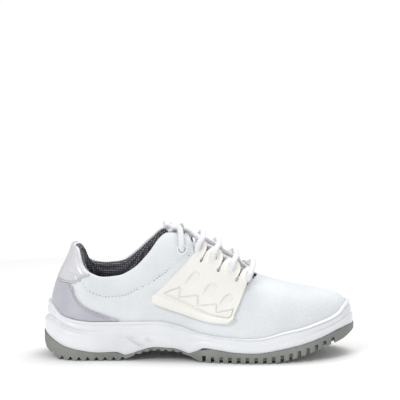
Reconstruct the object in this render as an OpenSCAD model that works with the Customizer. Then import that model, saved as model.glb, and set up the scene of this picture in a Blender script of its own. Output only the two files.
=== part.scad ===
// Low lace-up golf shoe, right foot, with a moulded lug sole.
// X runs from heel to toe, Y from the little-toe side to the big-toe side, Z up.
// The origin lies on the ground under the middle of the shoe.

/* [Overall] */
// Heel back to toe tip
shoe_length = 300; // [250:1:340]
// Width of the sole at the ball of the foot
ball_width = 107; // [90:0.5:120]
// Width of the sole at the waist
waist_width = 76; // [66:0.5:90]
// Width of the sole at the heel
heel_width = 77; // [66:0.5:90]
// Height of the heel tab above the ground
tab_height = 107; // [98:0.5:116]
// Height of the instep at the top eyelets
instep_height = 119; // [112:0.5:126]
// Height of the toe box near its tip
toe_height = 60; // [54:0.5:68]

/* [Sole] */
// Height of the insole deck under the heel
deck_heel = 26; // [22:0.5:32]
// Height of the insole deck under the ball
deck_ball = 13; // [11:0.5:17]
// Height of the insole deck at the toe tip
deck_toe = 27; // [24:0.5:32]
// Height of the toe tip of the tread above the ground
toe_spring = 17; // [12:0.5:20]
// Thickness of the rubber under the ball, lugs included
rubber_ball = 9.5; // [8:0.25:11]
// Thickness of the rubber in the waist
rubber_waist = 2.5; // [2:0.25:4]
// Depth of the tread grooves
groove_depth = 6; // [3:0.25:7]
// Width of the tread grooves
groove_width = 3.4; // [2:0.1:4.5]
// Distance from groove to groove
groove_pitch = 8.2; // [6:0.1:12]
// Height of the raised heel rim of the midsole above the ground
heel_rim = 53; // [46:0.5:58]
// Height of the toe bumper above the ground
bumper_height = 51; // [44:0.5:54]

/* [Upper] */
// Thickness of the outer material
outer_t = 1.6; // [1:0.1:2.2]
// Thickness of the lining
lining_t = 1; // [0.8:0.1:1.5]
// Thickness of the toe puff and the heel counter
stiffener_t = 1.2; // [0.8:0.1:1.6]
// Thickness of the covers sewn on the outside of the heel
cover_t = 1.2; // [0.8:0.1:2]
// Thickness of the heel tab
tab_t = 1.6; // [1:0.1:2.4]
// How far the collar padding swells into the foot opening
collar_padding = 6; // [3:0.5:8]
// Thickness of the moulded lace wings
wing_t = 2.6; // [2:0.1:3.5]
// Clearance between layers that are sewn or glued together
layer_gap = 0.3; // [0.2:0.05:0.4]

/* [Inside] */
// Thickness of the insole board
board_t = 3; // [2.5:0.1:4]
// Thickness of the shank
shank_t = 1.6; // [1:0.1:1.8]
// Width of the shank
shank_w = 16; // [10:0.5:22]
// Thickness of the footbed foam under the ball
footbed_t = 4; // [3:0.25:6]
// Height of the footbed's raised edge
footbed_cup = 4; // [2:0.25:6]
// Thickness of the cloth on the footbed
footbed_cloth_t = 0.8; // [0.6:0.1:1.2]
// Thickness of the tongue's foam
tongue_foam_t = 4; // [2.5:0.25:5]
// Thickness of the tongue's outer skin and of its lining
tongue_skin_t = 1; // [0.8:0.1:1.4]

/* [Lacing] */
// Diameter of the lace
lace_d = 5; // [4:0.1:5.6]
// Inner diameter of the top eyelets
eyelet_hole_d = 6.4; // [5.5:0.1:7.5]
// Outer diameter of the top eyelets
eyelet_d = 11; // [10:0.25:13]

/* [Hidden] */

// Positions along the shoe are shares of its length: 0 is the heel back, 1 the toe tip.
// Depths are measured outwards from the edge of the sole, so the upper's are negative.
half_length = shoe_length / 2;
upper_depth = -3.5;
stiffener_depth = upper_depth - outer_t - layer_gap;
lining_depth = stiffener_depth - stiffener_t - layer_gap;
foot_depth = lining_depth - lining_t;
cover_depth = upper_depth + layer_gap;
rim_depth = upper_depth + layer_gap;
tongue_gap = 3;
tongue_depth = foot_depth - lace_d - tongue_gap;

// ---- Smooth curves through a few stations ----

function lerp(a, b, t) = a + (b - a) * t;
function secant(p, i) = let (k = min(max(i, 0), len(p) - 2))
    (p[k + 1][1] - p[k][1]) / (p[k + 1][0] - p[k][0]);
// The slope at a station never carries the curve past the stations beside it
function slope(p, i) = let (a = secant(p, i - 1), b = secant(p, i))
    a * b <= 0 ? 0 : 2 * a * b / (a + b);
function span(p, x, i = 0) = (i >= len(p) - 2 || x < p[i + 1][0]) ? i : span(p, x, i + 1);
function along(p, x) =
    let (i = span(p, x), w = p[i + 1][0] - p[i][0], t = min(max((x - p[i][0]) / w, 0), 1),
        rise = slope(p, i) * w, leave = slope(p, i + 1) * w)
    p[i][1] * (2 * t ^ 3 - 3 * t ^ 2 + 1) + rise * (t ^ 3 - 2 * t ^ 2 + t)
        + p[i + 1][1] * (3 * t ^ 2 - 2 * t ^ 3) + leave * (t ^ 3 - t ^ 2);
// A share along the shoe from an angle, so that rows crowd together at the heel and the toe
function share(angle) = (1 - cos(angle)) / 2;
function angle_of(s) = acos(1 - 2 * s);
function steps(from, to, count) = [for (i = [0:count]) lerp(from, to, i / count)];

// ---- The last: the form that every layer of the shoe follows ----

HALF_WIDTHS = [[0, heel_width / 2 - 1], [0.13, heel_width / 2], [0.28, heel_width / 2 - 1],
    [0.42, waist_width / 2], [0.56, (waist_width + ball_width) / 4 + 2],
    [0.68, ball_width / 2], [0.82, ball_width / 2 - 2], [1, ball_width / 2 - 8]];
CENTRES = [[0, -0.8], [0.2, -0.3], [0.42, -2.8], [0.64, -0.8], [0.85, 3.2], [1, 8.2]];
DECKS = [[0, deck_heel + 1], [0.2, deck_heel], [0.4, deck_heel - 3], [0.55, deck_ball + 4],
    [0.67, deck_ball], [0.8, deck_ball + 4], [0.9, deck_toe - 2], [1, deck_toe + 4]];
RIDGES = [[0, tab_height + 45], [0.22, tab_height + 43], [0.31, instep_height + 19],
    [0.37, instep_height + 14], [0.433, instep_height + 10], [0.5, instep_height],
    [0.567, instep_height - 13], [0.62, instep_height - 24], [0.68, toe_height + 22],
    [0.75, toe_height + 15.5], [0.84, toe_height + 10], [0.93, toe_height + 6.5],
    [1, toe_height + 4]];
BACK_LEANS = [[15, 0], [24, 1.5], [40, 3], [52, 4.5], [69, 8.6], [82, 14], [91, 18.5],
    [104, 24], [116, 27]];
heel_cap_end = 0.13;
toe_cap_start = 0.72;
toe_cap_power = 2.2;
fullness = 2.4;
toe_roll = 26;
// How far the layers stand off the deck
seat = 0.3;

function heel_cap(s) = s >= heel_cap_end ? 1 : sqrt(1 - (1 - s / heel_cap_end) ^ 2);
function toe_cap(s) = s <= toe_cap_start ? 1
    : max(0, 1 - ((s - toe_cap_start) / (1 - toe_cap_start)) ^ toe_cap_power) ^ (1 / toe_cap_power);
function half_width(s, depth) = (along(HALF_WIDTHS, s) + depth) * heel_cap(s) * toe_cap(s);
function centre(s) = along(CENTRES, s);
function deck_at(x) = along(DECKS, x / shoe_length + 0.5);
function ridge(s) = along(RIDGES, s);
function edge_x(s, depth) = -half_length - depth + s * (shoe_length + 2 * depth);
function lean(s, z) = along(BACK_LEANS, z) * (1 - s) ^ 4;
// How far the ridge of the toe box is drawn back from the toe tip
function roll_back(s) = toe_roll * max(0, (s - 0.7) / 0.3) ^ 1.5;
// A point of the form: turn 0 is at the deck, turn 90 on the ridge
function skin(s, side, turn, depth) =
    let (rise = sin(turn) ^ (2 / fullness), spread = cos(turn) ^ (2 / fullness),
        low = deck_at(edge_x(s, depth)) + seat, z = low + (ridge(s) + depth - low) * rise)
    [edge_x(s, depth) + lean(s, z) - roll_back(s) * (1 - spread),
        centre(s) + side * half_width(s, depth) * spread, z];
function turn_at(s, z) =
    let (low = deck_at(edge_x(s, upper_depth)) + seat)
    asin(min(1, max(0, (z - low) / (ridge(s) + upper_depth - low))) ^ (fullness / 2));

// ---- Meshes ----

function flat(list) = [for (row = list) each row];
function clean(faces) = [for (f = faces) if (f[0] != f[1] && f[1] != f[2] && f[2] != f[0]) f];
function quad(a, b, c, d) = [[a, b, c], [a, c, d]];

// A wall between two grids of points, without the cells that keep() turns down. A zipped
// end folds its row onto itself, as at the toe tip.
// Layers that nest must split their cells along the same diagonals, which flip swaps.
module wall(outer, inner, zip_start = false, zip_end = false, flip = false,
        keep = function (i, j) true) {
    rows = len(outer) - 1;
    cols = len(outer[0]) - 1;
    half = len(outer) * len(outer[0]);
    function fold(i, j) =
        (zip_start && i == 0 || zip_end && i == rows) ? min(j, cols - j) : j;
    function at(i, j) = i * (cols + 1) + fold(i, j);
    function has(i, j) = i >= 0 && i < rows && j >= 0 && j < cols && keep(i, j);
    function edge(a, b) = quad(b, a, a + half, b + half);
    function split(a, b, c, d) = flip ? quad(b, c, d, a) : quad(a, b, c, d);
    faces = [for (i = [0:rows - 1], j = [0:cols - 1]) if (has(i, j)) each concat(
        split(at(i, j), at(i, j + 1), at(i + 1, j + 1), at(i + 1, j)),
        split(at(i, j) + half, at(i + 1, j) + half, at(i + 1, j + 1) + half,
            at(i, j + 1) + half),
        has(i, j - 1) ? [] : edge(at(i + 1, j), at(i, j)),
        has(i, j + 1) ? [] : edge(at(i, j + 1), at(i + 1, j + 1)),
        has(i - 1, j) || zip_start && i == 0 ? [] : edge(at(i, j), at(i, j + 1)),
        has(i + 1, j) || zip_end && i == rows - 1 ? [] : edge(at(i + 1, j + 1), at(i + 1, j)))];
    polyhedron(concat(flat(outer), flat(inner)), clean(faces), convexity = 8);
}

// A solid through closed sections. A section lists its lower points and then, the other way
// round, as many upper points, so that each end closes in strips.
module loft(sections) {
    n = len(sections[0]);
    last = len(sections) - 1;
    function at(i, k) = i * n + k % n;
    faces = concat(
        [for (i = [0:last - 1], k = [0:n - 1])
            each quad(at(i, k), at(i + 1, k), at(i + 1, k + 1), at(i, k + 1))],
        [for (k = [0:n / 2 - 2]) each quad(at(0, k), at(0, k + 1), at(0, n - 2 - k),
            at(0, n - 1 - k))],
        [for (k = [0:n / 2 - 2]) each quad(at(last, k), at(last, n - 1 - k),
            at(last, n - 2 - k), at(last, k + 1))]);
    polyhedron(flat(sections), faces, convexity = 8);
}

// A grid of points round the heel. Places are shares along the shoe, negative on the
// little-toe side.
function side_of(place) = place < 0 ? -1 : 1;
function ring_grid(places, low, high, shares, depth) =
    [for (p = places) let (s = abs(p), side = side_of(p))
        [for (v = shares) skin(s, side, lerp(low(s, side), high(s, side), v), depth(s, v))]];
// A grid whose rows run from the little-toe side over the ridge to the big-toe side
function cross_grid(rows, low, high, shares, depth) =
    [for (s = rows) concat(
        [for (v = shares) skin(s, -1, lerp(low(s, -1), high(s, -1), v), depth(s, v))],
        [for (k = [len(shares) - 1:-1:0]) let (v = shares[k])
            skin(s, 1, lerp(low(s, 1), high(s, 1), v), depth(s, v))])];
function even(depth) = function (s, v) depth;
function level(turn) = function (s, side) turn;
function angles_to_shares(from, to, count) =
    [for (a = steps(angle_of(from), angle_of(to), count)) share(a)];
function mirrored(list) = concat([for (k = [len(list) - 1:-1:1]) -list[k]], list);

// ---- Lines on the upper ----

throat_end = 0.69;
ridge_turn = 88;
TOP_LINE = [[0, tab_height], [0.02, tab_height - 1], [0.045, tab_height - 8],
    [0.07, tab_height - 16], [0.11, tab_height - 23.5], [0.165, tab_height - 27.4],
    [0.22, tab_height - 26], [0.27, tab_height - 19], [0.32, instep_height - 16],
    [0.355, instep_height - 3], [0.38, instep_height + 1], [0.43, instep_height],
    [0.46, instep_height - 3], [0.485, instep_height - 24], [0.55, instep_height - 32],
    [0.6, instep_height - 41], [0.64, instep_height - 47], [0.66, instep_height - 46],
    [0.675, instep_height - 43], [throat_end, toe_height + 18]];
// The collar stands higher on the big-toe side
function medial_rise(s, side) = side > 0 ? 4 * exp(-((s - 0.17) / 0.08) ^ 2) : 0;
function top_turn(s, side) = s >= throat_end ? ridge_turn
    : min(ridge_turn, turn_at(s, along(TOP_LINE, s) + medial_rise(s, side)));
RIM = [[0, heel_rim], [0.012, heel_rim - 2], [0.033, 46], [0.05, 42.5], [0.08, 40],
    [0.11, 38.5], [0.16, 37.2], [0.3, 37.5], [0.37, 38], [0.43, 34.5], [0.5, 28],
    [0.58, 24.8], [0.65, 23.7], [0.7, 24.5], [0.77, 29.5], [0.83, 32.6],
    [0.887, bumper_height - 14], [0.93, bumper_height - 10.5], [0.957, bumper_height - 7],
    [0.975, bumper_height - 3], [1, bumper_height]];
function rim(s) = along(RIM, s);
COVER_TOP = [[0, 72.3], [0.014, 72], [0.022, 71], [0.035, 63.5], [0.06, 56.5],
    [0.095, 49.5], [0.135, 43.8], [0.18, 40.4], [0.2, 39.6]];
TAB_BOTTOM = [[0, 72.6], [0.0145, 73.2], [0.0235, 81], [0.035, 87], [0.058, 90.5]];
eyelet_share = 0.435;
eyelet_drop = 9.5;
eyelet_half = (eyelet_hole_d / 2 + 2.05) / shoe_length;
EYELET_COLUMNS = [0, 0.18, 0.36, 0.52, 0.64, 0.84, 0.92, 1];
EYELET_ROWS = [eyelet_share - eyelet_half, eyelet_share + eyelet_half];
WALL_ROWS = concat(angles_to_shares(0, EYELET_ROWS[0], 14),
    angles_to_shares(EYELET_ROWS[1], 0.5, 2));
function round_eyelet(p, j) =
    !(abs(abs(p) - eyelet_share) <= eyelet_half + 0.001 && j == 4);

// ---- Sole ----

RUBBER_TOPS = [[0, 23.5], [0.03, 18.5], [0.07, 13], [0.115, 10], [0.18, 7.5], [0.235, 8],
    [0.27, rubber_waist + 2.5], [0.3, rubber_waist + 6], [0.36, rubber_waist + 10.5],
    [0.42, rubber_waist + 9.5], [0.475, rubber_waist + 5], [0.515, rubber_ball + 4],
    [0.56, rubber_ball + 2.5], [0.61, rubber_ball + 0.5], [0.67, rubber_ball],
    [0.77, rubber_ball + 4], [0.83, 17], [0.88, toe_spring + 4], [0.91, toe_spring + 7],
    [0.945, toe_spring + 10.5], [0.98, toe_spring + 12.5], [1, toe_spring + 12.5]];
TREAD = [[0, 15], [0.01, 9], [0.03, 5], [0.053, 0.6], [0.07, 0], [0.25, 0], [0.27, 2.5],
    [0.3, 6], [0.36, 10.5], [0.42, 9.5], [0.475, 5], [0.505, 1], [0.53, 0], [0.7, 0],
    [0.78, 3], [0.83, 6.5], [0.87, 10], [0.91, toe_spring - 3], [0.95, toe_spring],
    [1, toe_spring + 8]];
function rubber_top(x) = along(RUBBER_TOPS, x / shoe_length + 0.5);
function tread(x) = along(TREAD, x / shoe_length + 0.5);
sole_rows = 44;
SOLE_SHARES = angles_to_shares(0, 1, sole_rows);
midsole_inset = 1.2;

module plan(depth) {
    polygon(concat(
        [for (s = SOLE_SHARES) [edge_x(s, depth), centre(s) - half_width(s, depth)]],
        [for (k = [sole_rows - 1:-1:1]) let (s = SOLE_SHARES[k])
            [edge_x(s, depth), centre(s) + half_width(s, depth)]]));
}

heel_notch_w = 6;
heel_notches = floor(0.22 * shoe_length / groove_pitch) + 1;
heel_notch_start = -0.463 * shoe_length;
waist_rib_w = 3;
waist_ribs = 7;
waist_rib_start = -0.2 * shoe_length;
waist_rib_pitch = 7;
ball_grooves = floor(0.43 * shoe_length / groove_pitch) + 1;
ball_groove_start = 0.014 * shoe_length;
function notch(x, w, depth) = [[x - w / 2, tread(x - w / 2)], [x, tread(x) + depth],
    [x + w / 2, tread(x + w / 2)]];
function groove(x, w, depth) = [[x - w / 2, tread(x - w / 2)],
    [x - w / 2, tread(x) + depth], [x + w / 2, tread(x) + depth],
    [x + w / 2, tread(x + w / 2)]];
// The side view of the rubber, with grooves of the given share of their depth
module side_view(share_of_depth) {
    polygon(concat(
        [[half_length, rubber_top(half_length)]],
        [for (k = [sole_rows:-1:0]) let (x = edge_x(SOLE_SHARES[k], -midsole_inset))
            [x, rubber_top(x)]],
        [[-half_length, rubber_top(-half_length)]],
        [for (s = [0, 0.01, 0.02]) [(s - 0.5) * shoe_length, tread((s - 0.5) * shoe_length)]],
        [for (k = [0:heel_notches - 1])
            each notch(heel_notch_start + k * groove_pitch, heel_notch_w, 4 * share_of_depth)],
        [for (s = [0.27, 0.285]) [(s - 0.5) * shoe_length, tread((s - 0.5) * shoe_length)]],
        [for (k = [0:waist_ribs - 1])
            each groove(waist_rib_start + k * waist_rib_pitch, waist_rib_w, 1.2 * share_of_depth)],
        [for (s = [0.475, 0.49, 0.5]) [(s - 0.5) * shoe_length, tread((s - 0.5) * shoe_length)]],
        [for (k = [0:ball_grooves - 1])
            each groove(ball_groove_start + k * groove_pitch, groove_width,
                groove_depth * share_of_depth)],
        [for (s = [0.96, 0.98, 1]) [(s - 0.5) * shoe_length, tread((s - 0.5) * shoe_length)]]));
}

lug_band = 16;
module rubber(depth, share_of_depth) {
    intersection() {
        linear_extrude(height = 2 * toe_spring + 20) plan(depth);
        rotate([90, 0, 0])
            linear_extrude(height = 2 * ball_width, center = true) side_view(share_of_depth);
    }
}

module outsole() {
    color("#848682") {
        rubber(0, 1);
        rubber(-lug_band, 0.45);
    }
}

SOLE_LEANS = [[24, 0], [33, 0.8], [40, 2.2], [55, 3.6]];
// Inset of the midsole's outer face from its foot to its rim
MIDSOLE_FACE = [[0, -midsole_inset], [0.15, -0.5], [0.35, -0.2], [0.5, -1], [0.65, -0.5],
    [0.85, -0.9], [1, -1.6]];
spine_start = shoe_length / 3;
// The line under the middle of the foot, drawn in at both ends
function spine_x(x) = abs(x) <= spine_start ? x
    : sign(x) * (spine_start + (abs(x) - spine_start) * 0.8);
function sole_face(s, side, level, depth) =
    let (x = edge_x(s, depth), low = rubber_top(edge_x(s, -midsole_inset)) + layer_gap,
        z = lerp(low, rim(s), level))
    [x + along(SOLE_LEANS, z) * (1 - s) ^ 4 - 4 * max(0, (z - 30) / 20) ^ 1.5 * s ^ 8,
        centre(s) + side * half_width(s, depth), z];
function midsole_section(s, side) = concat(
    [for (f = MIDSOLE_FACE) sole_face(s, side, f[0], f[1])],
    [for (v = [1, 0.5, 0]) let (p = skin(s, side, v * turn_at(s, rim(s)), rim_depth))
        [p[0], p[1], p[2] - (v == 0 ? seat : 0)]]);

module midsole() {
    places = concat([for (s = SOLE_SHARES) -s],
        [for (k = [sole_rows - 1:-1:1]) SOLE_SHARES[k]]);
    ring = [for (p = places) midsole_section(abs(p), side_of(p))];
    tops = [for (s = SOLE_SHARES) let (x = spine_x(edge_x(s, rim_depth)))
        [x, centre(s), deck_at(x)]];
    bottoms = [for (s = SOLE_SHARES) let (x = spine_x(edge_x(s, -midsole_inset)))
        [x, centre(s), rubber_top(x) + layer_gap]];
    n = len(ring);
    k = len(ring[0]);
    function at(i, j) = (i % n) * k + j;
    function top(i) = n * k + (i % n <= sole_rows ? i % n : n - i % n);
    function bottom(i) = top(i) + sole_rows + 1;
    faces = [for (i = [0:n - 1]) each concat(
        [for (j = [0:k - 2]) each quad(at(i, j), at(i, j + 1), at(i + 1, j + 1), at(i + 1, j))],
        quad(at(i, k - 1), top(i), top(i + 1), at(i + 1, k - 1)),
        quad(bottom(i), at(i, 0), at(i + 1, 0), bottom(i + 1)))];
    color("#f2f3f4") polyhedron(concat(flat(ring), tops, bottoms), faces, convexity = 6);
}

// ---- Inside the shoe ----

board_depth = foot_depth - layer_gap;
// Lengthwise place of what lies inside, drawn in by the lean of the heel at its height
function inner_x(s, depth, height) = let (x = edge_x(s, depth)) x + lean(s, deck_at(x) + height);
INNER_SHARES = angles_to_shares(0.004, 0.996, 36);
shank_start = 0.2;
shank_end = 0.5;
function in_shank(s) = s > shank_start - 0.02 && s < shank_end + 0.02;
module insole_board() {
    color("#c9a982") loft([for (s = INNER_SHARES)
        let (x = inner_x(s, board_depth, board_t), y = centre(s),
            w = half_width(s, board_depth), z = deck_at(x) + layer_gap,
            slot = min(shank_w / 2 + 0.5, w * 0.6),
            lift = in_shank(s) ? shank_t + layer_gap : 0,
            ways = [-w, -slot, 0.2 - slot, slot - 0.2, slot, w],
            lifts = [0, 0, lift, lift, 0, 0])
        concat([for (k = [0:5]) [x, y + ways[k], z + lifts[k]]],
            [for (k = [5:-1:0]) [x, y + ways[k], z + board_t]])]);
}

module shank() {
    w = shank_w / 2 - 0.3;
    color("#8d9298") loft([for (s = [for (s = INNER_SHARES)
            if (s > shank_start && s < shank_end) s])
        let (x = inner_x(s, board_depth, board_t), y = centre(s),
            z = deck_at(x) + layer_gap)
        [[x, y - w, z], [x, y + w, z], [x, y + w, z + shank_t], [x, y - w, z + shank_t]]]);
}

footbed_clearance = 1.5;
footbed_depth = foot_depth - footbed_clearance;
ACROSS = [-1, -0.75, -0.4, 0, 0.4, 0.75, 1];
// How high the footbed's top stands over its bottom: raised at its edge, most at the heel
function footbed_rise(s, f) = footbed_t + footbed_cup * abs(f) ^ 3 * (1 - 0.7 * s);
module footbed_layer(low, high) {
    loft([for (s = INNER_SHARES)
        let (x = inner_x(s, footbed_depth, board_t + footbed_t + footbed_cup),
            w = half_width(s, footbed_depth),
            z = deck_at(x) + board_t + 2 * layer_gap)
        concat([for (f = ACROSS) [x, centre(s) + w * f, z + low(s, f)]],
            [for (k = [len(ACROSS) - 1:-1:0]) let (f = ACROSS[k])
                [x, centre(s) + w * f, z + high(s, f)]])]);
}
module footbed_foam() {
    color("#5c5f66") footbed_layer(function (s, f) 0, function (s, f) footbed_rise(s, f));
}
module footbed_cloth() {
    color("#3f4148") footbed_layer(function (s, f) footbed_rise(s, f) + 0.1,
        function (s, f) footbed_rise(s, f) + 0.1 + footbed_cloth_t);
}

// ---- Upper ----

// How far the padded collar swells inwards from the layers below it
function ease(t) = let (u = min(1, max(0, t))) u * u * (3 - 2 * u);
function swell(s, v) = collar_padding * ease((v - 0.5) / 0.3)
    * (1 - 0.4 * ease((v - 0.85) / 0.15)) * ease((0.42 - s) / 0.09);

THROAT_ROWS = [0.5475, 0.595, 0.63, 0.655, 0.67, 0.68, throat_end];
UPPER_ROWS = concat(WALL_ROWS, THROAT_ROWS,
    [for (a = steps(angle_of(throat_end), 180, 12)) if (share(a) > throat_end + 0.001) share(a)]);
module cross_wall(rows, high, depth_out, depth_in, zip_start, shares, keep) {
    wall(cross_grid(rows, level(0), high, shares, even(depth_out)),
        cross_grid(rows, level(0), high, shares, even(depth_in)),
        zip_start = zip_start, zip_end = true, keep = keep);
}
function throat_keep(rows, cols) = function (i, j)
    !(rows[i] < throat_end - 0.001 && j == cols)
    && round_eyelet((rows[i] + rows[i + 1]) / 2, j <= cols ? j : 2 * cols - j);

module upper() {
    color("#eceff1") cross_wall(UPPER_ROWS, function (s, side) top_turn(s, side),
        upper_depth, upper_depth - outer_t, true, EYELET_COLUMNS,
        throat_keep(UPPER_ROWS, len(EYELET_COLUMNS) - 1));
}

VAMP_ROWS = [for (s = UPPER_ROWS) if (s > 0.515) s];
module vamp_lining() {
    color("#dfe1e4") cross_wall(VAMP_ROWS, function (s, side) top_turn(s, side),
        lining_depth, foot_depth, false, EYELET_COLUMNS,
        throat_keep(VAMP_ROWS, len(EYELET_COLUMNS) - 1));
}

PUFF_ROWS = [for (s = UPPER_ROWS) if (s > 0.83) s];
module toe_puff() {
    color("#d8c9a4") cross_wall(PUFF_ROWS, level(ridge_turn), stiffener_depth,
        stiffener_depth - stiffener_t, false, EYELET_COLUMNS, function (i, j) true);
}

module ring_wall(places, low, high, shares, depth_out, depth_in) {
    wall(ring_grid(places, low, high, shares, depth_out),
        ring_grid(places, low, high, shares, depth_in), flip = true,
        keep = function (i, j) round_eyelet((abs(places[i]) + abs(places[i + 1])) / 2, j)
            || len(shares) != len(EYELET_COLUMNS));
}

module collar_lining() {
    color("#3c3d45") ring_wall(mirrored(WALL_ROWS), level(0),
        function (s, side) top_turn(s, side), EYELET_COLUMNS,
        function (s, v) lining_depth - swell(s, v), function (s, v) foot_depth - swell(s, v));
}

FOAM_ROWS = mirrored([for (s = WALL_ROWS) if (s < 0.4) s]);
module collar_foam() {
    color("#e3dcb0") ring_wall(FOAM_ROWS, level(0),
        function (s, side) top_turn(s, side), [0.52, 0.64, 0.84, 0.92, 0.97],
        even(stiffener_depth), function (s, v) lining_depth + layer_gap - swell(s, v));
}

COUNTER_ROWS = mirrored([for (s = WALL_ROWS) if (s < 0.27) s]);
module heel_counter() {
    color("#cdb98e") ring_wall(COUNTER_ROWS, level(0),
        function (s, side) top_turn(s, side), [0.04, 0.18, 0.36, 0.5],
        even(stiffener_depth), even(stiffener_depth - stiffener_t));
}

COVER_ROWS = mirrored([for (s = WALL_ROWS) if (s < 0.2) s]);
module heel_cover() {
    color("#c9c9cf") ring_wall(COVER_ROWS, function (s, side) turn_at(s, rim(s) + 0.8),
        function (s, side) turn_at(s, along(COVER_TOP, s)), steps(0, 1, 5),
        even(cover_depth + cover_t), even(cover_depth));
}

TAB_ROWS = mirrored(angles_to_shares(0, 0.056, 6));
module heel_tab() {
    color("#e4e5e9") ring_wall(TAB_ROWS, function (s, side) turn_at(s, along(TAB_BOTTOM, s)),
        function (s, side) top_turn(s, side), steps(0, 1, 6),
        even(cover_depth + tab_t), even(cover_depth));
}

// ---- Tongue ----

tongue_start = 0.388;
tongue_end = throat_end + 0.008;
// Gap under the vamp's lining, to which the tongue's front end is sewn
tongue_seat_gap = 1.3;
TONGUE_ROWS = concat([tongue_start], [for (s = UPPER_ROWS)
    if (s > tongue_start + 0.01 && s < tongue_end - 0.005) s], [tongue_end]);
// The tongue is a band over the instep, pinched where it is sewn under the vamp
function tongue_low(s, side) = 38 + 22 * ease((s - 0.5) / 0.19);
function tongue_level(depth) = function (s, v)
    depth + (foot_depth - tongue_seat_gap - tongue_depth) * ease((s - 0.63) / 0.06);
module tongue_layer(depth, thickness) {
    function grid(depth) = cross_grid(TONGUE_ROWS, function (s, side) tongue_low(s, side),
        level(ridge_turn), steps(0, 1, 4), tongue_level(depth));
    wall(grid(depth), grid(depth - thickness));
}
foam_depth = tongue_depth - tongue_skin_t - 0.2;
tongue_lining_depth = foam_depth - tongue_foam_t - 0.2;
module tongue_skin() {
    color("#e6e8ea") tongue_layer(tongue_depth, tongue_skin_t);
}
module tongue_foam() {
    color("#e3dcb0") tongue_layer(foam_depth, tongue_foam_t);
}
module tongue_lining() {
    color("#3c3d45") tongue_layer(tongue_lining_depth, tongue_skin_t);
}

// ---- Lace wings ----

// A point of a wing by its shares along and up. Its tabs stand off the upper at their tips.
WING_FOOT = [[0, 56], [0.1, 52.5], [0.35, 46], [0.75, 37.5], [0.9, 36.8], [1, 40]];
HOLE_SHARES = [0.49, 0.541, 0.598, 0.654];
HOLE_DROPS = [17, 24.5, 35, 43.5];
wing_lift = 2.5;
hole_w = 6.4;
tab_side = 3.4;
tab_pitch = 16.4;
hole_level = 0.885;
// Shares along the wing of the four lines of one tab
function tab_lines(k) = let (mid = (k + 0.44) / 4, w = hole_w / tab_pitch / 8,
    side = tab_side / tab_pitch / 4) [mid - w - side, mid - w, mid + w, mid + w + side];
WING_ALONG = concat([for (k = [0:3]) each tab_lines(k)]);
WING_UP = [0, 0.12, 0.32, 0.52, 0.7, 0.78, 0.84, 0.93, 1];
function hole_height(u) = instep_height - along([for (k = [0:3])
    [(k + 0.44) / 4, HOLE_DROPS[k]]], u);
function hole_share(u) = along([for (k = [0:3]) [(k + 0.44) / 4, HOLE_SHARES[k]]], u);
function wing_point(side, u, v, depth) =
    let (s = lerp(lerp(0.337, 0.605, u), hole_share(u) + 0.002 * (u - 0.5), v / hole_level),
        z = lerp(along(WING_FOOT, u), hole_height(u), v / hole_level))
    skin(s, side, turn_at(s, z), depth + wing_lift * ease((v - 0.6) / 0.3));
module lace_wing(side) {
    function grid(depth) = [for (u = side < 0 ? WING_ALONG : [for (k = [15:-1:0]) WING_ALONG[k]])
        [for (v = WING_UP) wing_point(side, u, v, depth)]];
    function tab_cell(i) = i % 4;
    color("#f6f5f0") wall(grid(cover_depth + wing_t), grid(cover_depth),
        keep = function (i, j) !(tab_cell(i) == 3 && j > 4) && !(tab_cell(i) == 1 && j == 6));
}
module lace_wing_lateral() { lace_wing(-1); }
module lace_wing_medial() { lace_wing(1); }

// ---- Facings: the strips that back the eyelets and the throat's edges ----

FACING_ROWS = [for (s = UPPER_ROWS) if (s > 0.4 && s < 0.66) s];
FACING_SHARES = [0.58, EYELET_COLUMNS[4], EYELET_COLUMNS[5], EYELET_COLUMNS[6], 0.98];
module facing(side) {
    places = side < 0 ? [for (k = [len(FACING_ROWS) - 1:-1:0]) -FACING_ROWS[k]] : FACING_ROWS;
    function grid(depth) = ring_grid(places, level(0),
        function (s, side) top_turn(s, side), FACING_SHARES, even(depth));
    color("#d9dadd") wall(grid(stiffener_depth), grid(stiffener_depth - stiffener_t),
        flip = true, keep = function (i, j)
            !(abs(abs(places[i] + places[i + 1]) / 2 - eyelet_share) < eyelet_half && j == 1));
}
module facing_lateral() { facing(-1); }
module facing_medial() { facing(1); }

// ---- Eyelets ----

function outward(s, side, turn, depth) =
    let (a = skin(s + 0.005, side, turn, depth) - skin(s - 0.005, side, turn, depth),
        b = skin(s, side, turn + 2, depth) - skin(s, side, turn - 2, depth), n = cross(a, b))
    -side * n / norm(n);
eyelet_turn_share = (EYELET_COLUMNS[4] + EYELET_COLUMNS[5]) / 2;
function eyelet_turn(side) = top_turn(eyelet_share, side) * eyelet_turn_share;
eyelet_wall = 0.8;
eyelet_rise = 1.4;
eyelet_reach = upper_depth - foot_depth;
module eyelet(side) {
    turn = eyelet_turn(side);
    n = outward(eyelet_share, side, turn, upper_depth);
    hole = eyelet_hole_d / 2;
    color("#eef0f1") translate(skin(eyelet_share, side, turn, upper_depth) + n * layer_gap)
        rotate([0, acos(n[2]), atan2(n[1], n[0])])
            rotate_extrude($fn = 48) polygon([[hole, -eyelet_reach], [hole + eyelet_wall,
                -eyelet_reach], [hole + eyelet_wall, 0], [eyelet_d / 2, 0],
                [eyelet_d / 2, eyelet_rise * 0.4], [eyelet_d / 2 - 0.8, eyelet_rise],
                [hole + 0.5, eyelet_rise], [hole, eyelet_rise * 0.6]]);
}
module eyelet_lateral() { eyelet(-1); }
module eyelet_medial() { eyelet(1); }

// ---- Lace ----

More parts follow.
